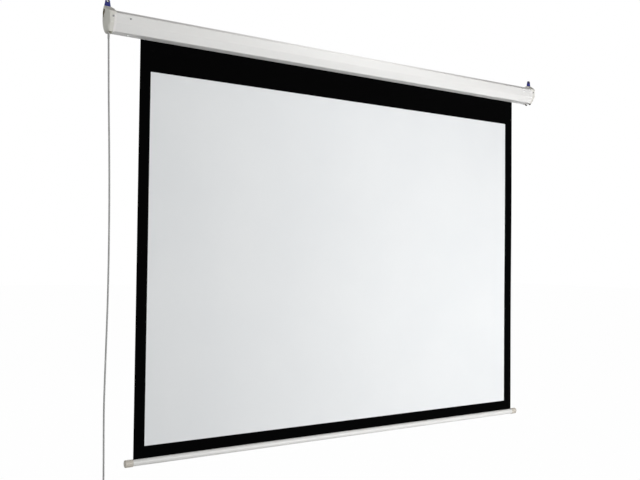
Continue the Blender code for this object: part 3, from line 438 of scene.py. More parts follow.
@dataclass(frozen=True)
class Finish(Surface):
    """A moulded, painted or metal surface: two close tones, uneven gloss and a fine grain."""

    colour: Colour
    shade: Colour
    roughness: float = 0.45
    unevenness: float = 0.05
    metallic: float = 0.0
    specular: float = 0.5
    mottle_scale: float = 14.0
    gloss_ratio: float = 3.1
    grain_scale: float = 1400.0
    grain_depth: float = 0.00003
    stretch: Place = (1.0, 1.0, 1.0)

    def tone(self, bench: NodeBench, where: Socket) -> Socket:
        """The surface's colour, drifting between the two tones."""
        mottle = bench.spread(bench.noise(where, self.mottle_scale), MIDDLE, FULL)
        return bench.blend(mottle, self.colour, self.shade)

    def dress(self, bench: NodeBench) -> None:
        """Lay out the tone, the gloss and the grain.

        Args:
            bench: the material's nodes.
        """
        where = bench.coordinates(self.stretch)
        bench.feed("Base Color", self.tone(bench, where))
        patches = bench.noise(where, self.mottle_scale * self.gloss_ratio, detail=4.0)
        gloss = (self.roughness - self.unevenness, self.roughness + self.unevenness)
        bench.feed("Roughness", bench.spread(patches, WIDE_MIDDLE, gloss))
        bench.relief(bench.noise(where, self.grain_scale, detail=2.0), self.grain_depth)
        bench.settings(Metallic=self.metallic, Specular_IOR_Level=self.specular)


@dataclass(frozen=True)
class CapFinish(Finish):
    """Moulded plastic, with a painted highlight on the lip at the cap's mouth."""

    # lip: colour of the painted highlight on the lip, which stands for light caught by its edge
    lip: Colour = (0.86, 0.84, 0.83)
    highlight_end: float = 1.1530
    highlight_fade: float = 0.0008
    highlight_top: Flat = (0.011, 0.018)

    def tone(self, bench: NodeBench, where: Socket) -> Socket:
        """The plastic's colour, with a painted highlight along the lip below its upper facet.

        Args:
            bench: the material's nodes.
            where: the vector in metres.

        Returns:
            The colour output.
        """
        x, _, z = bench.split(where)
        out = bench.maths("ABSOLUTE", x, 0.0)
        along = bench.spread(out, (self.highlight_end, self.highlight_end + self.highlight_fade), FALLING)
        highlight_share = bench.maths("MULTIPLY", along, bench.spread(z, self.highlight_top, FALLING))
        return bench.blend(highlight_share, super().tone(bench, where), self.lip)


@dataclass(frozen=True)
class PassivatedFinish(Surface):
    """Zinc with a yellow chromate film, whose thickness drifts between gold, green and rose."""

    gold: Colour = (0.46, 0.35, 0.09)
    green: Colour = (0.28, 0.29, 0.09)
    rose: Colour = (0.42, 0.23, 0.10)
    film_scale: float = 45.0
    film_range: Flat = (0.4, 0.62)
    blush_scale: float = 70.0
    blush_range: Flat = (0.52, 0.7)
    blush_share: Flat = (0.0, 0.7)
    spot_scale: float = 380.0
    gloss: Flat = (0.26, 0.46)
    grain_scale: float = 900.0
    grain_depth: float = 0.00002

    def dress(self, bench: NodeBench) -> None:
        """Lay out the film's tones, the gloss and the grain.

        Args:
            bench: the material's nodes.
        """
        where = bench.coordinates()
        film = bench.spread(bench.noise(where, self.film_scale, 2.0), self.film_range, FULL)
        blush = bench.noise(where, self.blush_scale)
        share = bench.spread(blush, self.blush_range, self.blush_share)
        tone = bench.blend(share, bench.blend(film, self.gold, self.green), self.rose)
        bench.feed("Base Color", tone)
        spots = bench.noise(where, self.spot_scale, detail=4.0)
        bench.feed("Roughness", bench.spread(spots, WIDE_MIDDLE, self.gloss))
        bench.relief(bench.noise(where, self.grain_scale), self.grain_depth)
        bench.settings(Metallic=1.0)


@dataclass(frozen=True)
class WovenFinish(Surface):
    """Close weave of two thread directions across X and Z, in two close tones."""

    colour: Colour
    shade: Colour
    patch_scale: float = 9.0
    threads: float = 1300.0
    depth: float = 0.00005
    roughness: float = 0.9
    specular: float = 0.1

    def dress(self, bench: NodeBench) -> None:
        """Lay out the tones and the weave.

        Args:
            bench: the material's nodes.
        """
        where = bench.coordinates()
        patches = bench.spread(bench.noise(where, self.patch_scale), MIDDLE, FULL)
        bench.feed("Base Color", bench.blend(patches, self.colour, self.shade))
        bench.relief(bench.weave(where, self.threads), self.depth)
        bench.settings(Roughness=self.roughness, Specular_IOR_Level=self.specular)


@dataclass(frozen=True)
class ScreenFinish:
    """Matt white projection face with a black border, both printed on one fine weave.

    The border is placed in the weight bar's space, so it stays true while the cloth rolls up.
    """

    name: str
    picture_left: float = -0.9815
    picture_right: float = 1.0180
    picture_low: float = -1.6716
    picture_high: float = -0.1716
    fade: float = 0.0006
    white: Colour = (0.818, 0.834, 0.846)
    shade: Colour = (0.798, 0.816, 0.831)
    black: Colour = (0.0011, 0.0011, 0.0012)
    patch_scale: float = 2.2
    threads: float = 1100.0
    depth: float = 0.00003
    relief_share: float = 0.6
    roughness: float = 0.95
    specular: float = 0.02

    def material(self, carrier: Piece) -> bpy.types.Material:
        """The finish's material.

        Args:
            carrier: the object in whose space the border lies.

        Returns:
            The material.
        """
        bench = NodeBench(bpy.data.materials.new(self.name))
        where = bench.coordinates(carrier=carrier)
        x, _, z = bench.split(where)
        edges = (
            (x, self.picture_left, 1),
            (x, self.picture_right, -1),
            (z, self.picture_low, 1),
            (z, self.picture_high, -1),
        )
        mask = None
        for value, edge, way in edges:
            inner = bench.spread(value, (edge, edge + way * self.fade), FULL)
            mask = inner if mask is None else bench.maths("MULTIPLY", mask, inner)
        tones = bench.spread(bench.noise(where, self.patch_scale, detail=4.0), MIDDLE, FULL)
        face = bench.blend(tones, self.white, self.shade)
        bench.feed("Base Color", bench.blend(mask, self.black, face))
        bench.relief(bench.weave(where, self.threads), self.depth, self.relief_share)
        bench.settings(Roughness=self.roughness, Specular_IOR_Level=self.specular)
        return bench.owner


class Finishes:
    """Every finish of the screen."""

    PAINT = Finish(
        "white_powder_coat", (0.845, 0.84, 0.828), (0.815, 0.81, 0.798), roughness=0.46,
        specular=0.15, mottle_scale=2.5, grain_scale=700.0, grain_depth=0.00004,
        stretch=(0.12, 1.0, 1.0),
    )
    BAR_PAINT = Finish(
        "bar_powder_coat", (0.77, 0.77, 0.755), (0.74, 0.735, 0.72), roughness=0.40,
        mottle_scale=3.0, grain_scale=800.0, stretch=(0.12, 1.0, 1.0),
    )
    CAP = CapFinish(
        "moulded_cap_plastic", (0.765, 0.753, 0.705), (0.74, 0.728, 0.68), roughness=0.46,
        specular=0.08, mottle_scale=18.0, grain_scale=1600.0, grain_depth=0.00005,
    )
    EAR = Finish(
        "blue_nylon", (0.026, 0.032, 0.215), (0.021, 0.026, 0.180),
        specular=0.3, mottle_scale=60.0, grain_scale=1800.0,
    )
    EYELET = Finish("eyelet_black", (0.012, 0.012, 0.012), (0.018, 0.018, 0.018), roughness=0.35)
    RUBBER = Finish(
        "foot_rubber", (0.115, 0.102, 0.088), (0.090, 0.080, 0.070), roughness=0.78,
        specular=0.3, mottle_scale=80.0, grain_scale=1200.0, grain_depth=0.00006,
    )
    PALE_RUBBER = replace(
        RUBBER, name="grey_foot_rubber", colour=(0.32, 0.32, 0.265), shade=(0.29, 0.29, 0.24),
        roughness=0.72,
    )
    SCREW = Finish(
        "bright_zinc_screw", (0.40, 0.40, 0.41), (0.32, 0.32, 0.33), roughness=0.34,
        metallic=1.0, mottle_scale=160.0, grain_scale=2600.0, grain_depth=0.00001,
    )
    # A brighter copy of the screw zinc: a painted highlight for the heads that shine
    HIGHLIGHT_SCREW = replace(
        SCREW, name="zinc_screw_highlight", colour=(0.90, 0.90, 0.90), shade=(0.82, 0.82, 0.83),
        roughness=0.20,
    )
    SHEATH = Finish(
        "grey_cord_sheath", (0.39, 0.39, 0.388), (0.36, 0.36, 0.358), roughness=0.50,
        specular=0.4, mottle_scale=22.0, grain_scale=900.0, grain_depth=0.00006,
    )
    RELIEF = Finish(
        "grey_relief_moulding", (0.37, 0.37, 0.368), (0.34, 0.34, 0.338), roughness=0.55,
        specular=0.35, mottle_scale=60.0, grain_scale=1200.0, grain_depth=0.00006,
    )
    TIE = Finish(
        "looped_strap", (0.016, 0.016, 0.017), (0.034, 0.034, 0.036), roughness=0.95,
        specular=0.15, mottle_scale=420.0, grain_scale=1500.0, grain_depth=0.00035,
    )
    PLUG = Finish(
        "plug_moulding", (0.028, 0.028, 0.029), (0.038, 0.038, 0.039), roughness=0.46,
        mottle_scale=45.0, grain_scale=1500.0, grain_depth=0.00005,
    )
    PIN = Finish(
        "nickel_pin", (0.66, 0.63, 0.56), (0.58, 0.55, 0.48), roughness=0.22, metallic=1.0,
        mottle_scale=90.0, grain_scale=2500.0, grain_depth=0.00001, stretch=(1.0, 1.0, 0.15),
    )
    BAR_CAP = Finish(
        "beige_bar_cap", (0.60, 0.56, 0.50), (0.57, 0.53, 0.47),
        mottle_scale=30.0, grain_scale=1500.0, grain_depth=0.00005,
    )
    BLACK_PLASTIC = Finish(
        "inner_black_plastic", (0.020, 0.020, 0.021), (0.030, 0.030, 0.031), roughness=0.48,
        mottle_scale=50.0,
    )
    NATURAL = Finish(
        "natural_plastic", (0.62, 0.59, 0.50), (0.56, 0.53, 0.44), roughness=0.42,
        mottle_scale=40.0,
    )
    ZINC = Finish(
        "zinc_plated_steel", (0.56, 0.57, 0.58), (0.47, 0.48, 0.50), roughness=0.36,
        metallic=1.0, mottle_scale=55.0, grain_scale=700.0, grain_depth=0.00002,
    )
    MOTOR = Finish(
        "motor_tube_steel", (0.42, 0.43, 0.44), (0.36, 0.37, 0.38), roughness=0.34, metallic=1.0,
        mottle_scale=26.0, grain_scale=900.0, grain_depth=0.00002, stretch=(0.1, 1.0, 1.0),
    )
    BRASS = Finish(
        "turned_brass", (0.66, 0.46, 0.18), (0.58, 0.40, 0.15), roughness=0.30, metallic=1.0,
        mottle_scale=120.0, grain_scale=2200.0, grain_depth=0.00001,
    )
    PASSIVATED = PassivatedFinish("yellow_passivated_steel")
    BACKING = WovenFinish("black_backing", (0.0085, 0.0085, 0.0090), (0.0115, 0.0115, 0.0120))
    SCREEN = ScreenFinish("projection_face")


def arc(centre: Flat, radii: Flat | float, start: float, end: float, steps: int) -> list[Flat]:
    """Points along a circle or an ellipse.

    Args:
        centre: its centre.
        radii: its radius, or its two radii.
        start: first angle in degrees.
        end: last angle in degrees.
        steps: number of steps between them.

    Returns:
        The points, first and last included.
    """
    across, up = (radii, radii) if isinstance(radii, float) else radii
    points = []
    for step in range(steps + 1):
        angle = math.radians(start + (end - start) * step / steps)
        points.append((centre[0] + across * math.cos(angle), centre[1] + up * math.sin(angle)))
    return points


def ellipse(centre: Flat, radii: Flat | float, steps: int) -> list[Flat]:
    """A whole ellipse, counter-clockwise."""
    return arc(centre, radii, 0, 360, steps)[:-1]


def quarter(steps: int) -> list[Flat]:
    """Cosine and sine from 0 to 90 degrees."""
    return arc((0.0, 0.0), 1.0, 0, 90, steps)


def rounded(
    points: Sequence[Flat], radius: float, closed: bool = True, steps: int = 6
) -> list[Flat]:
    """The path with each of its corners turned into an arc.

    Args:
        points: the path's corners.
        radius: radius of the arcs.
        closed: whether the last corner joins the first.
        steps: steps in each arc.

    Returns:
        The new path.
    """
    nearly_straight = math.radians(89)
    path = []
    count = len(points)
    for index, corner in enumerate(points):
        here = Vector(corner)
        back = (Vector(points[index - 1]) - here).normalized()
        ahead = (Vector(points[(index + 1) % count]) - here).normalized()
        half = back.angle(ahead) / 2
        if half > nearly_straight or not closed and index in (0, count - 1):
            path.append(corner)
            continue
        centre = here + (back + ahead).normalized() * radius / math.sin(half)
        reach = radius / math.tan(half)
        first = here + back * reach - centre
        last = here + ahead * reach - centre
        for step in range(steps + 1):
            part = step / steps
            spoke = first * (1 - part) + last * part
            path.append(tuple(centre + spoke.normalized() * radius))
    return path


def grown(points: Sequence[Flat], distance: float, closed: bool = True) -> list[Flat]:
    """The outline, given counter-clockwise, moved outward.

    Args:
        points: the outline.
        distance: how far outward, or inward if it is negative.
        closed: whether the last point joins the first.

    Returns:
        The moved outline.
    """
    moved = []
    count = len(points)
    for index, corner in enumerate(points):
        here = Vector(corner)
        back = here - Vector(points[index - 1])
        ahead = Vector(points[(index + 1) % count]) - here
        if not closed and index == 0:
            back = ahead
        if not closed and index == count - 1:
            ahead = back
        out_back = Vector((back.y, -back.x)).normalized()
        out_ahead = Vector((ahead.y, -ahead.x)).normalized()
        shift = (out_back + out_ahead) * distance / (1 + out_back.dot(out_ahead))
        moved.append(tuple(here + shift))
    return moved


def walled(path: Sequence[Flat], wall: float) -> list[Flat]:
    """The closed outline of a sheet wall that follows a path, with round ends.

    Args:
        path: the wall's outer face, given counter-clockwise.
        wall: its thickness, inward.

    Returns:
        The outline, counter-clockwise.
    """
    middle = grown(path, -wall / 2, closed=False)
    inner = grown(path, -wall, closed=False)
    ends = []
    for place, outward in ((middle[-1], path[-1]), (middle[0], inner[0])):
        turn = math.degrees(math.atan2(outward[1] - place[1], outward[0] - place[0]))
        ends.append(arc(place, wall / 2, turn, turn + 180, 6)[1:-1])
    return list(path) + ends[0] + inner[::-1] + ends[1]


def smooth_route(points: Sequence[Place], count: int, fine: int = 40) -> list[Vector]:
    """Evenly spaced points along a smooth curve through the given ones.

    Args:
        points: the places that the curve passes through.
        count: number of stretches between the new points.
        fine: steps between two places by which the curve is measured.

    Returns:
        The new points.
    """
    knots = [Vector(p) for p in points]
    padded = [2 * knots[0] - knots[1]] + knots + [2 * knots[-1] - knots[-2]]
    dense = []
    for a, b, c, d in zip(padded, padded[1:], padded[2:], padded[3:]):
        for step in range(fine):
            t = step / fine
            bend = 2 * a - 5 * b + 4 * c - d
            twist = 3 * b - a - 3 * c + d
            dense.append((2 * b + (c - a) * t + bend * t * t + twist * t * t * t) / 2)
    dense.append(knots[-1])
    length = sum((q - p).length for p, q in zip(dense, dense[1:]))
    route = [dense[0]]
    walked = 0.0
    for p, q in zip(dense, dense[1:]):
        stretch = (q - p).length
        while len(route) < count and walked + stretch >= length * len(route) / count:
            wanted = length * len(route) / count
            route.append(p.lerp(q, (wanted - walked) / stretch))
        walked += stretch
    route.append(dense[-1])
    return route


def within(point: Vector, outline: Sequence[Vector]) -> bool:
    """Whether a flat point lies inside a closed outline.

    Args:
        point: the point.
        outline: the outline's corners, in order.

    Returns:
        True if it lies inside.
    """
    inside = False
    for a, b in zip(outline, [*outline[1:], outline[0]]):
        if (a.y > point.y) != (b.y > point.y):
            cross = a.x + (point.y - a.y) / (b.y - a.y) * (b.x - a.x)
            inside ^= point.x < cross
    return inside


def linked(name: str, data: bpy.types.ID) -> Piece:
    """A new object in the scene.

    Args:
        name: its name.
        data: its mesh, curve, lamp or camera.

    Returns:
        The object.
    """
    obj = bpy.data.objects.new(name, data)
    bpy.context.scene.collection.objects.link(obj)
    return obj


class Sketch:
    """A mesh being built from rings of vertices."""

    def __init__(self) -> None:
        """Start an empty mesh."""
        self.bm = bmesh.new()

    def ring(self, points: Iterable[Sequence[float]]) -> Ring:
        """New vertices at the points, in order."""
        return [self.bm.verts.new(point) for point in points]

    def section(self, x: float, outline: Iterable[Flat]) -> Ring:
        """New vertices round an outline of (y, z) at one X."""
        return self.ring([(x, y, z) for y, z in outline])

    def bridge(self, first: Ring, second: Ring, closed: bool = True) -> None:
        """Quads between two rings of the same number of vertices.

        Args:
            first: one ring.
            second: the other.
            closed: whether the last vertex joins the first.
        """
        count = len(first)
        for i in range(count if closed else count - 1):
            j = (i + 1) % count
            self.bm.faces.new((first[i], first[j], second[j], second[i]))

    def skin(self, rings: Sequence[Ring], closed: bool = True) -> None:
        """Quads along a whole row of rings."""
        for first, second in zip(rings, rings[1:]):
            self.bridge(first, second, closed)

    def fan(self, tip: bmesh.types.BMVert, ring: Ring) -> None:
        """Triangles from a ring to one vertex."""
        for a, b in zip(ring, [*ring[1:], ring[0]]):
            self.bm.faces.new((tip, a, b))

    def fill(
        self,
        rings: Sequence[Ring],
        axes: tuple[int, int] = SECTION,
        inner: Sequence[bmesh.types.BMVert] = (),
    ) -> None:
        """Triangles inside the first ring and outside the others, through inner vertices.

        Args:
            rings: the outer ring, and then any holes.
            axes: the two coordinates in which the rings lie flat.
            inner: vertices between the rings.
        """
        verts = [v for ring in rings for v in ring] + list(inner)
        flat = [Vector((v.co[axes[0]], v.co[axes[1]])) for v in verts]
        edges = []
        outlines = []
        start = 0
        for ring in rings:
            count = len(ring)
            edges += [(start + i, start + (i + 1) % count) for i in range(count)]
            outlines.append(flat[start : start + count])
            start += count
        points, _, faces, origins = delaunay_2d_cdt(flat, edges, [], 0, 1e-7)[:4]
        for face in faces:
            middle = sum((points[i] for i in face), Vector((0.0, 0.0))) / len(face)
            if within(middle, outlines[0]) and not any(within(middle, o) for o in outlines[1:]):
                self.bm.faces.new([verts[origins[i][0]] for i in face])

    def finish(self, name: str, smooth: float = SMOOTH) -> Piece:
        """Turn the mesh into an object with its faces outward.

        Args:
            name: the object's name.
            smooth: shading angle in degrees.

        Returns:
            The object.
        """
        bmesh.ops.recalc_face_normals(self.bm, faces=self.bm.faces)
        mesh = bpy.data.meshes.new(name)
        self.bm.to_mesh(mesh)
        self.bm.free()
        obj = linked(name, mesh)
        soften(obj, smooth)
        return obj


def soften(obj: Piece, angle: float = SMOOTH) -> None:
    """Shade a mesh smooth, with its flat faces kept flat.

    Args:
        obj: the mesh, without modifiers.
        angle: shading angle in degrees.
    """
    obj.data.shade_smooth()
    obj.data.set_sharp_from_angle(angle=math.radians(angle))
    even = obj.modifiers.new("even_normals", "WEIGHTED_NORMAL")
    even.keep_sharp = True


def settle(obj: Piece) -> None:
    """Apply every modifier, so that the mesh is final.

    Args:
        obj: the mesh.
    """
    bpy.context.view_layer.update()
    evaluated = obj.evaluated_get(bpy.context.evaluated_depsgraph_get())
    mesh = bpy.data.meshes.new_from_object(evaluated)
    old = obj.data
    obj.modifiers.clear()
    obj.data = mesh
    bpy.data.meshes.remove(old)


def shaped(target: Piece, operation: str, *tools: Piece) -> Piece:
    """Cut or join meshes for good and remove the tools.

    Args:
        target: the piece.
        operation: DIFFERENCE or UNION.
        tools: the meshes that cut it or join it.

    Returns:
        The piece.
    """
    target.modifiers.clear()
    for tool in tools:
        tool.modifiers.clear()
        change = target.modifiers.new(tool.name, "BOOLEAN")
        change.operation = operation
        change.solver = "EXACT"
        change.object = tool
    settle(target)
    for tool in tools:
        bpy.data.objects.remove(tool, do_unlink=True)
    soften(target)
    return target


def extruded(
    name: str, outline: Sequence[Flat], low: float, high: float, axis: str = "X"
) -> Piece:
    """A solid of one flat outline along an axis.

    Args:
        name: the object's name.
        outline: the section, as the two coordinates other than the axis, in their order.
        low: where it starts along the axis.
        high: where it ends.
        axis: X, Y or Z.

    Returns:
        The object.
    """
    sketch = Sketch()
    along = "XYZ".index(axis)
    axes = tuple(i for i in range(3) if i != along)
    rings = []
    for height in (low, high):
        points = [list(point) for point in outline]
        for point in points:
            point.insert(along, height)
        rings.append(sketch.ring(points))
    sketch.skin(rings)
    for ring in rings:
        sketch.fill([ring], axes)
    return sketch.finish(name)


def block(name: str, low: Place, high: Place) -> Piece:
    """A plain block, used only to cut other pieces."""
    outline = [(low[0], low[1]), (high[0], low[1]), (high[0], high[1]), (low[0], high[1])]
    return extruded(name, outline, low[2], high[2], "Z")


def turned(
    name: str, profile: Sequence[Flat], matrix: Matrix, steps: int = 48, closed: bool = False
) -> Piece:
    """A profile of (radius, height) points turned about Z, and then placed.

    Args:
        name: the object's name.
        profile: the points; a radius of 0 closes the solid at the axis.
        matrix: where the piece goes.
        steps: steps round the axis.
        closed: whether the profile's last point joins its first.

    Returns:
        The object.
    """
    sketch = Sketch()
    rows = []
    for radius, height in profile:
        spots = [(0.0, 0.0)] if radius < 1e-7 else ellipse((0.0, 0.0), radius, steps)
        rows.append(sketch.ring([matrix @ Vector((x, y, height)) for x, y in spots]))
    pairs = list(zip(rows, rows[1:]))
    if closed:
        pairs.append((rows[-1], rows[0]))
    for first, second in pairs:
        if len(first) == 1:
            sketch.fan(first[0], second)
        elif len(second) == 1:
            sketch.fan(second[0], first)
        else:
            sketch.bridge(first, second)
    return sketch.finish(name)


def plate(
    name: str, outline: Sequence[Flat], hole: Sequence[Flat], ends: Flat, edge: float
) -> Piece:
    """A flat plate in X and Z with rounded edges, round its rim and its hole.

    Args:
        name: the object's name.
        outline: the rim as (x, z), counter-clockwise.
        hole: the hole as (x, z), counter-clockwise.
        ends: the plate's lowest and highest Y.
        edge: radius of the edges.

    Returns:
        The object.
    """
    sketch = Sketch()
    levels = [(edge * (1 - sine), ends[0] + edge * (1 - cosine)) for cosine, sine in quarter(4)]
    levels += [(inset, ends[0] + ends[1] - y) for inset, y in levels[::-1]]
    walls = []
    for ring, way in ((outline, -1), (hole, 1)):
        rows = []
        for inset, y in levels:
            rows.append(sketch.ring([(x, y, z) for x, z in grown(ring, way * inset)]))
        sketch.skin(rows)
        walls.append(rows)
    for level in (0, -1):
        sketch.fill([rows[level] for rows in walls], (0, 2))
    return sketch.finish(name)


def cable(name: str, route: Sequence[Vector], radius: float, fineness: int = 3) -> Piece:
    """A round cable as one smooth curve.

    Args:
        name: the object's name.
        route: the points that its centre passes through.
        radius: the cable's radius.
        fineness: steps of the curve between two points.

    Returns:
        The curve object.
    """
    curve = bpy.data.curves.new(name, "CURVE")
    curve.dimensions = "3D"
    curve.resolution_u = fineness
    curve.bevel_depth = radius
    curve.bevel_resolution = 4
    curve.use_fill_caps = True
    spline = curve.splines.new("BEZIER")
    spline.bezier_points.add(len(route) - 1)
    for knot, point in zip(spline.bezier_points, route):
        knot.co = point
        knot.handle_left_type = "AUTO"
        knot.handle_right_type = "AUTO"
    return linked(name, curve)


def fit(
    piece: Piece, slot: Slot, finish: bpy.types.Material, *nodes: str, body: Body = Body.HOUSING
) -> Piece:
    """Dress a piece and put it on its body.

    Args:
        piece: the mesh or curve, in its place.
        slot: the record's slot for the piece; not used.
        finish: its material.
        nodes: the CAD nodes that it stands for.
        body: the body that it rides on.

    Returns:
        The piece.
    """
    piece.data.materials.clear()
    piece.data.materials.append(finish)
    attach(piece, body.value)
    if nodes:
        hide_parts(*nodes)
    LOG.info("%s rides on %s", piece.name, body.value)
    return piece


@dataclass
class Casing:
    """The faceted extrusion that holds the roller, open at the cloth's slot."""

    wall: float = 0.0015
    corner: float = 0.002
    corner_steps: int = 8
    slot_front: float = 0.005
    slot_rear: float = 0.0065

    def path(self) -> list[Flat]:
        """The outer section, from the slot's rear lip round to its front lip.

        Returns:
            Its points as (y, z). The rear lip lies on the slanted facet, the front one on the flat.
        """
        rear = LAYOUT.cloth_y + self.slot_rear
        slope = (-LAYOUT.facet - LAYOUT.casing_bottom) / LAYOUT.lower_inset
        start = (rear, -LAYOUT.facet + rear * slope)
        end = (LAYOUT.cloth_y - self.slot_front, LAYOUT.casing_bottom)
        corners = [start, *LAYOUT.section()[1:], end]
        return rounded(corners, self.corner, closed=False, steps=self.corner_steps)

    def build(self) -> None:
        """Make the extrusion."""
        outline = walled(self.path(), self.wall)
        shell = extruded("casing_extrusion", outline, -LAYOUT.casing_half, LAYOUT.casing_half)
        fit(shell, Slot.WHITE_PAINT, Finishes.PAINT.material(), "casing")


@dataclass
class EndCap:
    """A moulded cap: a sleeve over the casing, a crowned face with a keyhole, a tented top."""

    side: Side
    wall: float = 0.0017
    sleeve: float = 0.018
    barrel_radius: float = 0.081
    bulge: float = 0.021
    oval_inset: float = 0.016
    oval_height: float = 0.0545
    shoulder: float = 0.024
    ridge_half: float = 0.003
    flank_hollow: float = 0.0008
    flank_steps: int = 4
    corner: float = 0.0028
    corner_steps: int = 5
    edge: float = 0.0012
    edge_steps: int = 5
    lip_length: float = 0.008
    lip_depth: float = 0.0014
    lip_edge: float = 0.0003
    ramp_beside_ear: float = 0.0129
    ramp_drop: float = 0.0070
    ramp_steps: int = 14
    keyhole_radius: float = 0.0125
    keyhole_centre: float = 0.0265
    keyhole_slot_half: float = 0.005
    keyhole_low: float = 0.005
    keyhole_corner: float = 0.0015
    keyhole_edge: float = 0.0006
    keyhole_depth: float = 0.007
    liner_reach: float = 0.0004
    liner_wall: float = 0.0010
    liner_foot: float = 1.1683
    grid: float = 0.0045
    grid_angles: tuple[int, ...] = (80, 71, 62, 53, 45, 38, 31, 24, 18, 12, 6)

    @property
    def mouth(self) -> float:
        """How far out the cap's inner end is, as a positive X."""
        return LAYOUT.casing_half - self.sleeve

    def outline(self) -> list[Flat]:
        """The cap's outer section, flush at the wall.

        Returns:
            Its corners as (y, z), counter-clockwise.
        """
        lower = grown(LAYOUT.section(), LAYOUT.cap_proud)
        (low_y, low_z), (high_y, high_z) = lower[:2]
        rear_z = low_z - low_y * (high_z - low_z) / (high_y - low_y)
        front = -LAYOUT.casing_depth - LAYOUT.cap_proud
        rear_flank = self.flank(0.0, LAYOUT.middle_y + self.ridge_half)
        front_flank = self.flank(front, LAYOUT.middle_y - self.ridge_half)
        return [lower[0], (0.0, rear_z), *rear_flank, *front_flank[::-1], lower[6], lower[7]]

    def flank(self, foot_y: float, ridge_y: float) -> list[Flat]:
        """One slightly hollow flank of the tent.

        Args:
            foot_y: Y of its shoulder.
            ridge_y: Y of its upper end, at the ridge.

        Returns:
            Its points as (y, z), from the shoulder up.
        """
        points = []
        for step in range(self.flank_steps + 1):
            part = step / self.flank_steps
            height = self.shoulder + (LAYOUT.ridge_top - self.shoulder) * part
            sag = self.flank_hollow * math.sin(math.pi * part)
            points.append((foot_y + (ridge_y - foot_y) * part, height - sag))
        return points

    def crown(self, y: float, z: float, shrink: float) -> float:
        """How far out the crowned face is.

        Args:
            y: the place's Y.
            z: the place's height.
            shrink: how much smaller the cap is taken to be.

        Returns:
            The distance as a positive X.
        """
        radius = self.barrel_radius - shrink
        foot = LAYOUT.under_cap - LAYOUT.seat_gap + shrink
        top = LAYOUT.ridge_top + LAYOUT.cap_proud
        if z > self.keyhole_centre:
            radius -= LAYOUT.cap_proud * (z - self.keyhole_centre) / (top - self.keyhole_centre)
        below = min(1.0, (foot + self.oval_height - z) / self.oval_height)
        if below > 0:
            radius -= self.oval_inset * (1 - math.sqrt(1 - below**2))
        across = y - LAYOUT.middle_y
        centre = LAYOUT.casing_half + self.bulge - self.barrel_radius
        return centre + math.sqrt(max(1e-8, radius**2 - across**2))

    def keyhole(self, reach: float) -> list[Flat]:
        """The keyhole's outline.

        Args:
            reach: how much wider than the opening it is all round.

        Returns:
            Its points as (y, z), counter-clockwise.
        """
        radius = self.keyhole_radius + reach
        half = self.keyhole_slot_half + reach
        low = self.keyhole_low - reach
        soft = self.keyhole_corner + reach
        middle = LAYOUT.middle_y
        turn = math.degrees(math.asin(half / radius))
        head = arc((middle, self.keyhole_centre), radius, -90 + turn, 270 - turn, 28)
        left = arc((middle - half + soft, low + soft), soft, 180, 270, 4)
        right = arc((middle + half - soft, low + soft), soft, 270, 360, 4)
        return head + left + right

    def grid_points(self, rim: Sequence[Flat], hole: Sequence[Flat]) -> list[Flat]:
        """Places across the crowned face.

        Args:
            rim: the face's outline, which they stay clear of.
            hole: the keyhole's outline, which they stay clear of, or nothing.

        Returns:
            The places as (y, z).
        """
        foot = LAYOUT.under_cap + self.oval_height
        rows = [foot - self.oval_height * math.sin(math.radians(a)) for a in self.grid_angles]
        height = foot
        while height < LAYOUT.ridge_top:
            rows.append(height)
            height += self.grid
        clear_rim = [Vector(p) for p in grown(rim, -self.grid / 3)]
        clear_hole = [Vector(p) for p in grown(hole, self.grid / 3)] if hole else []
        columns = round(LAYOUT.casing_depth / self.grid)
        found = []
        for row in rows:
            for column in range(columns + 1):
                y = -LAYOUT.casing_depth * column / columns
                here = Vector((y, row))
                if within(here, clear_rim) and not (clear_hole and within(here, clear_hole)):
                    found.append((y, row))
        return found

    def on_crown(
        self, sketch: Sketch, outline: Sequence[Flat], shrink: float, back: float = 0.0
    ) -> Ring:
        """Vertices on the crowned face or behind it.

        Args:
            sketch: the mesh.
            outline: the vertices' places as (y, z).
            shrink: how much smaller the cap is taken to be.
            back: how far behind the face they are.

        Returns:
            The vertices.
        """
        sign = self.side.value
        return sketch.ring([(sign * (self.crown(y, z, shrink) - back), y, z) for y, z in outline])

    def sunk_keyhole(self, sketch: Sketch) -> Ring:
        """The blind hole in the crowned face, with a soft edge.

        Args:
            sketch: the mesh.

        Returns:
            The ring of vertices on the face.
        """
        rows = []
        for cosine, sine in quarter(3):
            wide = self.keyhole(self.keyhole_edge * (1 - sine))
            rows.append(self.on_crown(sketch, wide, 0.0, self.keyhole_edge * (1 - cosine)))
        floor = LAYOUT.casing_half + self.bulge - self.keyhole_depth
        rows.append(sketch.section(self.side.value * floor, self.keyhole(0.0)))
        sketch.skin(rows)
        sketch.fill([rows[-1]])
        return rows[0]

    def lip(self) -> list[Flat]:
        """The cap's outer edge at its mouth, thinned to a lip.

        Returns:
            Points as (distance from the mouth, inset).
        """
        soft = self.lip_edge
        return [
            (0.0, self.lip_depth + soft),
            (soft, self.lip_depth),
            (self.lip_length - 3 * soft, 1.3 * soft),
            (self.lip_length, 0.3 * soft),
            (self.lip_length + 3 * soft, 0.0),
        ]

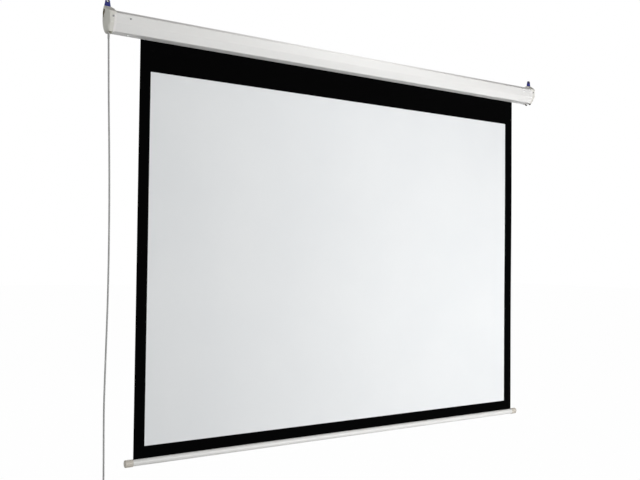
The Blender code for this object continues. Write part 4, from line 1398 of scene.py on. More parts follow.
    def body(self, name: str, shrink: float, mouth: float, opened: bool) -> Piece:
        """The cap as a solid, from the mouth to the crowned face.

        Args:
            name: the object's name.
            shrink: how much smaller it is all round than the cap's outer surface.
            mouth: X of the end that faces the casing, as a positive number.
            opened: whether it has the lip and the keyhole.

        Returns:
            The object.
        """
        sketch = Sketch()
        outline = rounded(
            grown(self.outline(), -shrink), self.corner - shrink, steps=self.corner_steps
        )
        edge = self.edge if opened else self.edge / 2
        rings = []
        for along, inset in self.lip() if opened else [(0.0, 0.0)]:
            place = self.side.value * (mouth + along)
            rings.append(sketch.section(place, grown(outline, -inset)))
        for cosine, sine in quarter(self.edge_steps):
            rim = grown(outline, -edge * (1 - cosine))
            rings.append(self.on_crown(sketch, rim, shrink, edge * (1 - sine)))
        sketch.skin(rings)
        sketch.fill([rings[0]])
        holes = [self.sunk_keyhole(sketch)] if opened else []
        hole = self.keyhole(self.keyhole_edge) if opened else []
        places = self.grid_points(grown(outline, -edge), hole)
        sketch.fill([rings[-1], *holes], inner=self.on_crown(sketch, places, shrink))
        return sketch.finish(name)

    def ramp(self, name: str, sink: float) -> Piece:
        """The space over the tent's inner end, under which it falls in a hollow curve from the ear.

        Args:
            name: the object's name.
            sink: how far the space reaches below the cap's outer surface.

        Returns:
            The object.
        """
        sign = self.side.value
        start = LAYOUT.ear_x - self.ramp_beside_ear + sink
        end = self.mouth
        outline = []
        for step in range(self.ramp_steps + 1):
            part = step / self.ramp_steps
            height = LAYOUT.ridge_top - sink - self.ramp_drop * part * (2 - part)
            outline.append((sign * (start + (end - start) * part), height))
        high = LAYOUT.ridge_top + LAYOUT.cap_proud
        past = sign * (end - LAYOUT.cap_proud)
        outline += [(past, outline[-1][1]), (past, high), (sign * start, high)]
        deep = -LAYOUT.casing_depth - 2 * LAYOUT.cap_proud
        return extruded(name, outline, deep, LAYOUT.cap_proud, "Y")

    def liner(self) -> Piece:
        """The steel collar that lines the keyhole.

        Returns:
            The collar, from the hanger plate to the crowned wall.
        """
        sketch = Sketch()
        foot = self.side.value * self.liner_foot
        outer = self.keyhole(self.liner_reach)
        inner = self.keyhole(self.liner_reach - self.liner_wall)
        rows = [
            sketch.section(foot, outer),
            self.on_crown(sketch, outer, self.wall, HAIR),
            self.on_crown(sketch, inner, self.wall, HAIR),
            sketch.section(foot, inner),
        ]
        sketch.skin([*rows, rows[0]])
        return sketch.finish(f"keyhole_liner_{self.side.word}")

    def build(self) -> None:
        """Make the cap: its outer solid less its hollow and the casing's seat."""
        word = self.side.word
        sign = self.side.value
        cap = self.body(f"end_cap_shell_{word}", 0.0, self.mouth, True)
        hollow = self.body(f"end_cap_hollow_{word}", self.wall, self.mouth + self.wall, False)
        seat_outline = grown(LAYOUT.section(), LAYOUT.seat_gap)
        ends = sorted((sign * (self.mouth - self.wall), sign * (LAYOUT.casing_half + HAIR)))
        seat = extruded(f"end_cap_seat_{word}", seat_outline, *ends)
        shaped(hollow, "DIFFERENCE", self.ramp(f"end_cap_inner_ramp_{word}", self.wall))
        shaped(cap, "DIFFERENCE", self.ramp(f"end_cap_ramp_{word}", 0.0), hollow, seat)
        fit(cap, Slot.CAP_PLASTIC, Finishes.CAP.material(), f"end_cap_{word}")
        fit(self.liner(), Slot.PASSIVATED_STEEL, Finishes.PASSIVATED.material())


@dataclass
class Ear:
    """The blue tip on the hanger's tongue, with a dark turned eyelet through it."""

    side: Side
    thickness: float = 0.005
    base_half: float = 0.0125
    top_half: float = 0.008
    height: float = 0.027
    corner: float = 0.0065
    corner_steps: int = 10
    foot_gap: float = 0.0004
    foot_steps: int = 3
    edge: float = 0.0008
    hole_steps: int = 40
    eyelet_below_top: float = 0.0069
    eyelet_bore: float = 0.0032
    eyelet_barrel: float = 0.0045
    eyelet_flange: float = 0.0062
    eyelet_rim: float = 0.0006

    @property
    def foot(self) -> float:
        """The height of the tip's foot, just above the cap's ridge."""
        return LAYOUT.ridge_top + self.foot_gap

    def outline(self) -> list[Flat]:
        """The tip's face, nearly square at its foot and round at its top.

        Returns:
            Its points as (x, z), counter-clockwise.
        """
        top = self.foot + self.height
        centre = self.side.value * LAYOUT.ear_x
        corners = [
            (centre - self.base_half, self.foot),
            (centre + self.base_half, self.foot),
            (centre + self.top_half, top),
            (centre - self.top_half, top),
        ]
        curved = rounded(corners, self.corner, steps=self.corner_steps)
        feet = rounded(corners, 2 * self.edge, steps=self.foot_steps)
        return feet[: len(feet) // 2] + curved[len(curved) // 2 :]

    def eyelet_profile(self) -> list[Flat]:
        """The eyelet's half section, with rolled rims and a flared bore.

        Returns:
            Its points as (radius, height).
        """
        face = self.thickness / 2 + HAIR
        middle = (self.eyelet_flange + self.eyelet_bore) / 2
        roll = ((self.eyelet_flange - self.eyelet_bore) / 2, self.eyelet_rim)
        front = arc((middle, face), roll, 0, 180, 8)
        rear = arc((middle, -face), roll, 180, 360, 8)
        throat = [(self.eyelet_bore, 0.0)]
        return front + throat + rear + [(self.eyelet_barrel, -face), (self.eyelet_barrel, face)]

    def build(self) -> None:
        """Make the tip and its eyelet."""
        word = self.side.word
        centre = self.side.value * LAYOUT.ear_x
        level = self.foot + self.height - self.eyelet_below_top
        hole = ellipse((centre, level), self.eyelet_barrel + HAIR, self.hole_steps)
        half = self.thickness / 2
        ends = (LAYOUT.middle_y - half, LAYOUT.middle_y + half)
        tip = plate(f"ear_{word}", self.outline(), hole, ends, self.edge)
        fit(tip, Slot.BLUE_PLASTIC, Finishes.EAR.material(), f"ear_tip_{word}")

        place = Facing.PLUS_Y.matrix((centre, LAYOUT.middle_y, level))
        eyelet = turned(f"eyelet_{word}", self.eyelet_profile(), place, closed=True)
        fit(eyelet, Slot.BLACK_PLASTIC, Finishes.EYELET.material(), f"ear_eyelet_{word}")


@dataclass
class Screws:
    """Pan head screws with a crossed recess: two through each cap, two beside it."""

    head_radius: float = 0.0039
    head_height: float = 0.0025
    head_side: float = 0.0005
    head_under: float = 0.0002
    shank_radius: float = 0.0014
    shank_length: float = 0.0058
    shank_point: float = 0.0005
    recess_half: float = 0.0021
    recess_thin: float = 0.0004
    recess_floor: float = 0.0011
    level: float = 0.004
    front_inset: float = 0.006
    under_inset: float = 0.009
    case_front_inset: float = 0.074
    case_under_inset: float = 0.077
    first_twist: float = 11.0
    twist_step: float = 29.0

    def pattern(self) -> bpy.types.Mesh:
        """The screw that all the others are copied from.

        Returns:
            Its mesh, head up, with its seat at height 0.
        """
        dome_height = self.head_height - self.head_side
        dome = arc((0.0, self.head_side), (self.head_radius, dome_height), 90, 0, 10)
        dome[0] = (0.0, self.head_height)
        under = [(self.head_radius - self.head_under, 0.0), (self.shank_radius, 0.0)]
        point = self.shank_point - self.shank_length
        tip = [(self.shank_radius, point), (0.0, -self.shank_length)]
        screw = turned("screw_pattern", dome + under + tip, Matrix.Identity(4), 40)
        tools = []
        for half_x, half_y in (
            (self.recess_half, self.recess_thin),
            (self.recess_thin, self.recess_half),
        ):
            low = (-half_x, -half_y, self.recess_floor)
            tools.append(block("recess", low, (half_x, half_y, 2 * self.head_height)))
        shaped(screw, "DIFFERENCE", shaped(tools[0], "UNION", tools[1]))
        mesh = screw.data
        bpy.data.objects.remove(screw, do_unlink=True)
        return mesh

    def build(self) -> None:
        """Place the eight screws, each turned a little differently."""
        mesh = self.pattern()
        front = -LAYOUT.casing_depth - HAIR
        under = LAYOUT.casing_bottom - HAIR
        middle = LAYOUT.middle_y
        proud = LAYOUT.cap_proud
        places = (
            ("cap_screw_front", self.front_inset, front - proud, self.level, Facing.MINUS_Y),
            ("case_screw_front", self.case_front_inset, front, self.level, Facing.MINUS_Y),
            ("cap_screw_under", self.under_inset, middle, under - proud, Facing.MINUS_Z),
            ("case_screw_under", self.case_under_inset, middle, under, Facing.MINUS_Z),
        )
        twist = self.first_twist
        for side in Side:
            for name, inset, y, z, facing in places:
                node = f"{name}_{side.word}"
                screw = linked(f"pan_head_{node}", mesh.copy())
                x = side.value * (LAYOUT.casing_half - inset)
                spin = Matrix.Rotation(math.radians(twist), 4, "Z")
                screw.data.transform(facing.matrix((x, y, z)) @ spin)
                twist += self.twist_step
                # The under screws and the right front casing screw take the brighter zinc, a
                # painted highlight
                bright_front = side is Side.RIGHT and name == "case_screw_front"
                highlighted = facing is Facing.MINUS_Z or bright_front
                finish = Finishes.HIGHLIGHT_SCREW if highlighted else Finishes.SCREW
                fit(screw, Slot.SCREW_STEEL, finish.material(), node)


@dataclass
class Feet:
    """Small rubber buffers under the caps: one at the left, two at the right."""

    radius: float = 0.0055
    height: float = 0.007
    inset: float = 0.003
    front: float = -0.0175
    rear: float = 0.0075
    dimple: float = 0.0022
    dimple_taper: float = 0.7
    dimple_side: float = 0.0006
    dimple_depth: float = 0.0008

    def build(self) -> None:
        """Make the three feet."""
        places = (
            ("foot_left", Side.LEFT, self.front),
            ("foot_right_front", Side.RIGHT, self.front),
            ("foot_right_rear", Side.RIGHT, self.rear),
        )
        soft = self.radius / 3
        profile = [(0.0, 0.0), (self.radius, 0.0)]
        profile += arc((self.radius - soft, soft - self.height), soft, 0, -90, 6)
        profile.append((self.dimple, -self.height))
        profile.append((self.dimple * self.dimple_taper, self.dimple_side - self.height))
        profile.append((0.0, self.dimple_depth - self.height))
        for node, side, shift in places:
            x = side.value * (LAYOUT.casing_half - self.inset)
            place = (x, LAYOUT.middle_y + shift, LAYOUT.under_cap - HAIR)
            foot = turned(f"rubber_{node}", profile, Matrix.Translation(place), 36)
            finish = Finishes.PALE_RUBBER if side is Side.LEFT else Finishes.RUBBER
            fit(foot, Slot.DARK_RUBBER, finish.material(), node)


@dataclass
class StrainRelief:
    """The gland in the left cap's floor and the tapered, grooved relief below it."""

    cord_radius: float
    bore_gap: float = 0.0002
    length: float = 0.022
    flange: float = 0.0056
    flange_above: float = 0.002
    flange_round: float = 0.0005
    barrel: float = 0.0043
    neck_proud: float = 0.0004
    neck_below: float = 0.0027
    end: float = 0.0041
    end_side: float = 0.0006
    end_inset: float = 0.0003
    ribs: int = 6
    ribs_below: float = 0.0030
    ribs_short: float = 0.0042
    rib_shape: tuple[Flat, ...] = ((0.0, 0.0), (0.55, 0.0), (0.68, 0.00022), (0.87, 0.00022))

    @property
    def top(self) -> float:
        """The height of the face against the cap's underside."""
        return LAYOUT.under_cap - HAIR

    @property
    def bottom(self) -> float:
        """The height of the lower end."""
        return self.top - self.length

    def build(self) -> Piece:
        """Make the piece.

        Returns:
            The piece.
        """
        wall_top = LAYOUT.casing_bottom - LAYOUT.seat_gap + HAIR
        bore = self.cord_radius + self.bore_gap
        soft = self.flange_round
        profile = [
            (bore, wall_top + self.flange_above),
            (self.flange, wall_top + self.flange_above),
            (self.flange, wall_top),
            (self.barrel, wall_top),
            (self.barrel, self.top),
        ]
        profile += arc((self.flange - soft, self.top - soft), soft, 90, 0, 3)
        profile.append((self.barrel + self.neck_proud, self.top - self.neck_below))
        for rib in range(self.ribs):
            for part, sunk in self.rib_shape:
                share = (rib + part) / self.ribs
                height = self.top - self.ribs_below - share * (self.length - self.ribs_short)
                taper = self.barrel + (self.end - self.barrel) * share
                profile.append((taper - sunk, height))
        profile.append((self.end, self.bottom + self.end_side))
        profile += [(self.end - self.end_inset, self.bottom), (bore, self.bottom)]
        place = Matrix.Translation((LAYOUT.cord_x, LAYOUT.cord_y, 0.0))
        relief = turned("strain_relief", profile, place, 36, closed=True)
        return fit(relief, Slot.GREY_CORD, Finishes.RELIEF.material(), "cable_gland")


@dataclass
class CoilTie:
    """A soft strap round the coil's strands, its end lapped over it."""

    centre: Place
    half_x: float
    half_y: float
    thickness: float
    height: float = 0.012
    edge: float = 0.0003
    lap_out: float = 0.0009
    lap_in: float = 0.0004
    lap_edge: float = 0.0002
    lap_chamfer: float = 0.001
    lap_share: Flat = (-0.55, 0.45)

    def strap(self) -> Piece:
        """The closed loop.

        Returns:
            The piece.
        """
        x, y, z = self.centre
        corners = [
            (x - self.half_x, y - self.half_y),
            (x + self.half_x, y - self.half_y),
            (x + self.half_x, y + self.half_y),
            (x - self.half_x, y + self.half_y),
        ]
        outer = rounded(corners, 2 * self.thickness, steps=5)
        inner = grown(outer, -self.thickness)
        outer_edge = grown(outer, -self.edge)
        inner_edge = grown(inner, self.edge)
        half = self.height / 2
        shape = (
            (outer, self.edge - half),
            (outer, half - self.edge),
            (outer_edge, half),
            (inner_edge, half),
            (inner, half - self.edge),
            (inner, self.edge - half),
            (inner_edge, -half),
            (outer_edge, -half),
        )
        sketch = Sketch()
        rows = [sketch.ring([(u, v, z + height) for u, v in ring]) for ring, height in shape]
        sketch.skin([*rows, rows[0]])
        return sketch.finish("coil_strap")

    def lap(self) -> Piece:
        """The strap's end over the loop.

        Returns:
            The piece.
        """
        x, y, z = self.centre
        face = x - self.half_x
        low, high = (y + self.half_y * share for share in self.lap_share)
        outline = [
            (face - self.lap_edge, low),
            (face + self.lap_in, low),
            (face + self.lap_in, high),
            (face - self.lap_edge, high),
            (face - self.lap_out, high - self.lap_chamfer),
            (face - self.lap_out, low + self.lap_chamfer),
        ]
        half = self.height / 2 - self.lap_edge
        return extruded("strap_lap", outline, z - half, z + half, "Z")

    def build(self) -> Piece:
        """Make the piece and dress it."""
        tie = shaped(self.strap(), "UNION", self.lap())
        return fit(tie, Slot.TIE_FABRIC, Finishes.TIE.material(), "cord_tie")


@dataclass
class MainsLead:
    """The mains lead: strain relief, hanging cord, coil with its tie, and the plug."""

    radius: float = 0.0035
    length: float = 2.97
    start_inside: float = 0.004
    coil_x: float = -1.148
    coil_radius: float = 0.036
    coil_pitch: float = 0.0078
    coil_turns: int = 5
    coil_points: int = 24
    coil_centre: float = -1.845
    coil_lead: float = 0.0105
    coil_end: float = 0.070
    hang_stretches: int = 32
    tie_thickness: float = 0.0012
    tie_slack: float = 0.0004
    motor_head_x: float = -1.1263
    motor_lead_z: float = -0.0260
    motor_lead_stretches: int = 14

    @property
    def top(self) -> float:
        """The height at which the cord leaves the strain relief."""
        return StrainRelief(self.radius).bottom - HAIR

    @property
    def end_y(self) -> float:
        """Y of the cord's straight end, past the last turn."""
        return LAYOUT.cord_y - self.coil_turns * self.coil_pitch

    def hang(self) -> list[Place]:
        """The places that the hanging stretch passes through, as in the CAD.

        Returns:
            The places, from the relief down to the coil.
        """
        x, y = LAYOUT.cord_x, LAYOUT.cord_y
        return [
            (x, y, self.top),
            (x + 0.0010, y, -0.120),
            (x + 0.0048, y, -0.300),
            (x + 0.0105, y, -0.500),
            (x + 0.0146, y, -0.700),
            (x + 0.0162, y, -0.900),
            (x + 0.0154, y, -1.100),
            (x + 0.0118, y, -1.300),
            (x + 0.0088, y, -1.480),
            (x + 0.0096, y, -1.600),
            (x + 0.0117, y, -1.740),
            (self.coil_x, y, -1.810),
            (self.coil_x, y, self.coil_centre + self.coil_lead),
        ]

    def route(self) -> list[Vector]:
        """The whole centreline.

        Returns:
            Its points, down from the relief, round the coil and down to the plug.
        """
        route = [Vector((LAYOUT.cord_x, LAYOUT.cord_y, self.top + self.start_inside))]
        route += smooth_route(self.hang(), self.hang_stretches)
        centre_x = self.coil_x + self.coil_radius
        for step in range(self.coil_turns * self.coil_points + 1):
            turn = step / self.coil_points
            angle = math.pi + 2 * math.pi * turn
            x = centre_x + self.coil_radius * math.cos(angle)
            z = self.coil_centre + self.coil_radius * math.sin(angle)
            route.append(Vector((x, LAYOUT.cord_y - self.coil_pitch * turn, z)))
        for part in (0.3, 0.65, 1.0):
            route.append(Vector((self.coil_x, self.end_y, self.coil_centre - self.coil_end * part)))
        return route

    def tie(self) -> CoilTie:
        """The coil's tie.

        Returns:
            The tie, sized to go round the strands.
        """
        middle_y = LAYOUT.cord_y - self.coil_pitch * self.coil_turns / 2
        half_x = self.radius + self.tie_slack + HAIR + self.tie_thickness
        half_y = self.coil_pitch * (self.coil_turns - 1) / 2 + half_x
        centre = (self.coil_x + 2 * self.coil_radius, middle_y, self.coil_centre)
        return CoilTie(centre, half_x, half_y, self.tie_thickness)

    def build(self) -> None:
        relief = StrainRelief(self.radius).build()
        lead = cable("mains_lead", self.route(), self.radius)
        fit(lead, Slot.GREY_CORD, Finishes.SHEATH.material(), "power_cord", "cord_coil")
        tie = self.tie().build()
        plug = Plug(self.coil_x, self.end_y, self.coil_centre - self.coil_end - HAIR)
        self.top
        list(plug.build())
        self.build_inner()

    def build_inner(self) -> None:
        """The short lead inside the cap, from the gland to the motor's head."""
        x, y = LAYOUT.cord_x, LAYOUT.cord_y
        places = [
            (x, y, -0.04565),
            (x, y, -0.04215),
            (x + 0.0035, y, -0.0295),
            (x + 0.0140, y, self.motor_lead_z),
            (self.motor_head_x, y, self.motor_lead_z),
        ]
        route = smooth_route(places, self.motor_lead_stretches)
        inner = cable("motor_lead_inner", route, self.radius)
        fit(inner, Slot.GREY_CORD, Finishes.SHEATH.material(), "motor_lead")


@dataclass
class Plug:
    """A straight two-pin mains plug that hangs from the cord's end, pins down."""

    x: float
    y: float
    top: float
    relief: float = 0.025
    relief_radius: float = 0.005
    relief_edge: float = 0.0006
    grooves: int = 5
    groove_shape: tuple[Flat, ...] = ((0.2, 0.0), (0.35, 0.0006), (0.65, 0.0006), (0.8, 0.0))
    neck: float = 0.010
    neck_radius: float = 0.0075
    neck_parts: tuple[float, ...] = (0.25, 0.5, 0.75, 0.92)
    neck_power: float = 1.6
    radius: float = 0.0185
    body: float = 0.022
    shoulder_round: float = 0.0015
    face_round: float = 0.001
    channel_half: float = 0.003
    channel_depth: float = 0.002
    channel_outside: float = 0.0005
    channel_below: float = 0.001
    channel_height: float = 0.019
    pin_radius: float = 0.0024
    pin_length: float = 0.019
    pin_seat: float = 0.006
    pin_spread: float = 0.0095
    pin_tip: float = 0.9
    clip_inset: float = 0.0013
    clip_half: float = 0.0022
    clip_thin: float = 0.0005
    clip_bulge: float = 0.0009
    clip_heights: Place = (0.0006, 0.006, 0.0175)

    @property
    def face(self) -> float:
        """The height of the plug's flat face."""
        return self.top - self.relief - self.neck - self.body

    def profile(self) -> list[Flat]:
        """The body's half section, with a grooved relief and a swelling neck.

        Returns:
            Its points as (radius, height below the top).
        """
        soft = self.relief_edge
        profile = [(0.0, 0.0), (self.relief_radius - soft, 0.0), (self.relief_radius, -soft)]
        for groove in range(self.grooves):
            for part, sunk in self.groove_shape:
                share = (groove + part) / self.grooves
                taper = self.relief_radius + (self.neck_radius - self.relief_radius) * share
                profile.append((taper - sunk, -self.relief * share))
        profile.append((self.neck_radius, -self.relief))
        swell = self.radius - self.neck_radius
        for part in self.neck_parts:
            wide = self.neck_radius + swell * math.sin(part * math.pi / 2)
            profile.append((wide, -self.relief - self.neck * part**self.neck_power))
        shoulder = -self.relief - self.neck
        soft = self.shoulder_round
        profile += arc((self.radius - soft, shoulder - soft), soft, 45, 0, 3)
        end = shoulder - self.body
        soft = self.face_round
        profile += arc((self.radius - soft, end + soft), soft, 0, -90, 4)
        profile.append((0.0, end))
        return profile

    def moulding(self) -> Piece:
        """The plug's body, with side channels and seats for the pins.

        Returns:
            The piece.
        """
        place = Matrix.Translation((self.x, self.y, self.top))
        body = turned("plug_moulding_body", self.profile(), place, 64)
        tools = []
        for sign in (-1, 1):
            rim = self.y + sign * self.radius
            sides = sorted((rim, rim - sign * self.channel_depth))
            low = (self.x - self.channel_half, sides[0], self.face - self.channel_below)
            high_z = self.face + self.channel_height
            high = (self.x + self.channel_half, sides[1] + self.channel_outside, high_z)
            tools.append(block(f"channel_{sign}", low, high))
        for sign in (-1, 1):
            seat = (self.x + sign * self.pin_spread, self.y, self.face - HAIR)
            radius = self.pin_radius + HAIR
            deep = self.pin_seat + 2 * HAIR
            profile = [(0.0, 0.0), (radius, 0.0), (radius, deep), (0.0, deep)]
            tools.append(turned(f"seat_{sign}", profile, Matrix.Translation(seat), 32))
        return shaped(body, "DIFFERENCE", *tools)

    def pin(self, side: Side) -> Piece:
        """One round pin.

        Args:
            side: the pin's side of the plug.

        Returns:
            The piece.
        """
        tip = self.pin_radius * self.pin_tip
        length = self.pin_seat + self.pin_length
        profile = [(0.0, 0.0), (self.pin_radius, 0.0), (self.pin_radius, tip - length)]
        profile += arc((0.0, tip - length), (self.pin_radius, tip), 0, -90, 6)[1:-1]
        profile.append((0.0, -length))
        place = (self.x + side.value * self.pin_spread, self.y, self.face + self.pin_seat)
        return turned(f"round_pin_{side.word}", profile, Matrix.Translation(place), 32)

    def clip(self, side: Side) -> Piece:
        """One earth clip, a thin bowed strip in its channel.

        Args:
            side: the clip's side of the plug.

        Returns:
            The piece.
        """
        y = self.y + side.value * (self.radius - self.clip_inset)
        thin = self.clip_thin
        bowed = y + self.clip_bulge * side.value
        low, middle, high = (self.face + height for height in self.clip_heights)
        strip = [
            (y - thin, low),
            (y + thin, low),
            (bowed + thin, middle),
            (y + thin, high),
            (y - thin, high),
            (bowed - thin, middle),
        ]
        ends = (self.x - self.clip_half, self.x + self.clip_half)
        return extruded(f"earth_clip_{side.word}", strip, *ends)

    def build(self) -> list[Piece]:
        """Make the plug.

        Returns:
            Its pieces.
        """
        plastic = Finishes.PLUG.material()
        pieces = [fit(self.moulding(), Slot.PLUG_PLASTIC, plastic, "plug_body")]
        metal = Finishes.PIN.material()
        for side in Side:
            node = f"plug_pin_{side.word}"
            pieces.append(fit(self.pin(side), Slot.PLUG_METAL, metal, node))
            pieces.append(fit(self.clip(side), Slot.PLUG_METAL, metal))
        return pieces


@dataclass
class ScreenCloth:
    """The hanging cloth with its black back, and the safety turns left on the roller."""

    columns: int = 96
    rows: int = 72
    travel: float = 1.665
    ripple: float = 0.0009
    ripple_hold: float = 0.7
    slow_waves: float = 2.1
    slow_slant: float = 3.0
    slow_share: float = 0.35
    curl_waves: float = 2.6
    curl_start: float = 0.8
    curl_edge: int = 6
    smooth: float = 60.0
    turns: int = 3
    turn_start: float = 0.02540
    turn_pitch: float = 0.00052
    turn_thickness: float = 0.00047
    turn_steps: int = 60

    def wave(self, across: float, down: float) -> float:
        """How far the cloth stands off its plane.

        Args:
            across: place along the width, from -1 to 1.
            down: place along the drop, from 0 to 1.

        Returns:
            The distance, towards the back if it is positive.
        """
        held = math.sin(math.pi * down) ** self.ripple_hold
        slow = math.sin(self.slow_waves * math.pi * down + self.slow_slant * across)
        curl = math.sin(self.curl_waves * math.pi * down + self.curl_start + across)
        edge = abs(across) ** self.curl_edge
        return self.ripple * held * (slow * self.slow_share + edge * curl)

    def hanging(self) -> Piece:
        """The sheet from the roller's tangent to the weight bar, front and back.

        Returns:
            The sheet.
        """
        sketch = Sketch()
        half = LAYOUT.cloth_thickness / 2
        layers = []
        for shift in (-half, half):
            grid = []
            for row in range(self.rows + 1):
                down = row / self.rows
                z = LAYOUT.roller_z - LAYOUT.cloth_drop * down
                points = []
                for column in range(self.columns + 1):
                    across = 2 * column / self.columns - 1
                    x = LAYOUT.cloth_centre + across * LAYOUT.cloth_half
                    points.append((x, LAYOUT.cloth_y + shift + self.wave(across, down), z))
                grid.append(sketch.ring(points))
            layers.append(grid)
            sketch.skin(grid, closed=False)
        for front, rear in zip(self.rim(layers[0]), self.rim(layers[1])):
            sketch.bridge(front, rear, closed=False)
        cloth = sketch.finish("projection_cloth", self.smooth)
        cloth.modifiers.clear()
        return cloth

    def rim(self, grid: list[Ring]) -> list[Ring]:
        """The four edges of one layer's grid of vertices."""
        return [grid[0], grid[-1], [row[0] for row in grid], [row[-1] for row in grid]]

    def wound(self) -> Piece:
        """The turns that stay on the roller, as one spiral strip.

        Returns:
            The strip.
        """
        strip = []
        for step in range(self.turns * self.turn_steps + 1):
            turn = step / self.turn_steps
            angle = math.pi / 2 + 2 * math.pi * turn
            strip.append((self.turn_start + self.turn_pitch * turn, angle))
        outline = []
        for way, shift in ((1, self.turn_thickness / 2), (-1, -self.turn_thickness / 2)):
            for radius, angle in strip[::way]:
                y = LAYOUT.middle_y + (radius + shift) * math.cos(angle)
                outline.append((y, LAYOUT.roller_z + (radius + shift) * math.sin(angle)))
        sketch = Sketch()
        rings = [sketch.section(x, outline) for x in (LAYOUT.cloth_left, LAYOUT.cloth_right)]
        sketch.skin(rings)
        half = len(strip)
        for ring in rings:
            sketch.bridge(ring[:half], ring[half:][::-1], closed=False)
        return sketch.finish("wound_cloth")

    def build(self, frame: dict) -> None:
        cloth = self.hanging()
        face = Finishes.SCREEN.material(frame["bodies"][Body.BAR.value])
        fit(cloth, Slot.SCREEN_CLOTH, face, "screen_fabric")
        backing = Finishes.BACKING.material()
        cloth.data.materials.append(backing)
        for polygon in cloth.data.polygons:
            polygon.material_index = 0 if polygon.normal.y < -0.5 else 1
        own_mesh(cloth)

        turns = self.wound()
        fit(turns, Slot.BLACK_CLOTH, backing, "wound_turns", body=Body.ROLLER)


@dataclass
class WeightBar:
    """The oval slotted bar at the cloth's hem, with a moulded cap on each end."""

    half_height: float = 0.013
    half_depth: float = 0.012
    wall: float = 0.0016
    slot_half: float = 0.0014
    overhang: float = 0.0015
    in_cap: float = 0.011
    tube_steps: int = 72
    cap_length: float = 0.033
    cap_half_height: float = 0.015
    cap_half_depth: float = 0.0135
    cap_edge: float = 0.0006
    cap_round: float = 0.004
    cap_steps: int = 56
    groove_start: float = 0.0120
    groove_end: float = 0.0130
    groove_side: float = 0.0002
    groove_depth: float = 0.0003

    @property
    def centre(self) -> Flat:
        """The bar's axis as (y, z)."""
        return (LAYOUT.cloth_y, LAYOUT.bar_top - self.half_height)

    def tube(self) -> Piece:
        """The bar itself.

        Returns:
            The piece.
        """
        lip = math.degrees(math.asin(self.slot_half / self.half_depth))
        radii = (self.half_depth, self.half_height)
        path = arc(self.centre, radii, 90 + lip, 450 - lip, self.tube_steps)
        half = LAYOUT.cloth_half + self.overhang + self.in_cap
        ends = (LAYOUT.cloth_centre - half, LAYOUT.cloth_centre + half)
        return extruded("weight_bar_tube", walled(path, self.wall), *ends)

    def cap_profile(self) -> list[Flat]:
        """A cap's side: a soft mouth, a shallow ring groove and a rounded end.

        Returns:
            Points as (distance from the mouth, distance outward).
        """
        soft = self.cap_edge
        side = self.groove_side
        profile = [(0.0, -soft), (soft * 0.4, -soft * 0.25), (soft * 1.3, 0.0)]
        profile += [(self.groove_start, 0.0), (self.groove_start + side, -self.groove_depth)]
        profile += [(self.groove_end - side, -self.groove_depth), (self.groove_end, 0.0)]
        start = self.cap_length - self.cap_round
        for cosine, sine in quarter(6):
            profile.append((start + self.cap_round * sine, -self.cap_round * (1 - cosine)))
        return profile

    def cap(self, side: Side) -> Piece:
        """One end cap.

        Args:
            side: the end that it closes.

        Returns:
            The cap.
        """
        sign = side.value
        mouth = LAYOUT.cloth_centre + sign * (LAYOUT.cloth_half + self.overhang)
        sketch = Sketch()
        rings = []
        for along, out in self.cap_profile():
            radii = (self.cap_half_depth + out, self.cap_half_height + out)
            oval = ellipse(self.centre, radii, self.cap_steps)
            rings.append(sketch.section(mouth + sign * along, oval))
        seat = (self.half_depth + HAIR, self.half_height + HAIR)
        bore = []
        for along in (0.0, self.in_cap + HAIR):
            oval = ellipse(self.centre, seat, self.cap_steps)
            bore.append(sketch.section(mouth + sign * along, oval))
        sketch.skin(rings)
        sketch.fill([rings[-1]])
        sketch.bridge(rings[0], bore[0])
        sketch.skin(bore)
        sketch.fill([bore[-1]])
        return sketch.finish(f"bar_end_{side.word}")

    def build(self) -> None:
        """Make the bar and its caps."""
        paint = Finishes.BAR_PAINT.material()
        fit(self.tube(), Slot.WHITE_PAINT, paint, "weight_bar", body=Body.BAR)
        plastic = Finishes.BAR_CAP.material()
        for side in Side:
            node = f"bar_cap_{side.word}"
            fit(self.cap(side), Slot.BAR_CAP_PLASTIC, plastic, node, body=Body.BAR)


@dataclass(frozen=True)
class InnerParts:
    """The CAD nodes that keep their shape, by the finish of each."""

    finishes: tuple[tuple[Surface, tuple[str, ...]], ...] = (
        (Finishes.BLACK_PLASTIC, ("motor_head", "crown_ring", "drive_wheel", "idler_plug")),
        (Finishes.ZINC, ("motor_bracket", "idler_bracket", "roller_tube", "weight_rod")),
        (Finishes.SCREW, ("motor_shaft", "idler_pin")),
        (Finishes.NATURAL, ("bearing_bush", "fabric_key", "hem_spline")),
        (Finishes.BRASS, ("limit_screw_up", "limit_screw_down")),
        (Finishes.MOTOR, ("motor_tube",)),
        (Finishes.PASSIVATED, ("hanger_plate_left", "hanger_plate_right")),
    )

    def build(self, nodes: dict[str, Piece]) -> None:
        """Dress the nodes.

        Args:
            nodes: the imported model's nodes by name.
        """
        for finish, names in self.finishes:
            for name in names:
                for slot in nodes[name].material_slots:
                    slot.material = finish.material()
                LOG.info("%s keeps its CAD shape", name)


@dataclass(frozen=True)
class SoftLight:
    """One square area lamp."""

    name: str
    place: Place
    target: Place
    size: float
    power: float
    colour: Colour = WHITE

    def build(self) -> None:
        """Hang the lamp and aim it."""
        data = bpy.data.lights.new(self.name, "AREA")
        data.shape = "SQUARE"
        data.size = self.size
        data.energy = self.power
        data.color = self.colour
        lamp = linked(self.name, data)
        lamp.location = self.place
        aim = Vector(self.target) - Vector(self.place)
        lamp.rotation_euler = aim.to_track_quat("-Z", "Y").to_euler()
        lamp.visible_camera = False


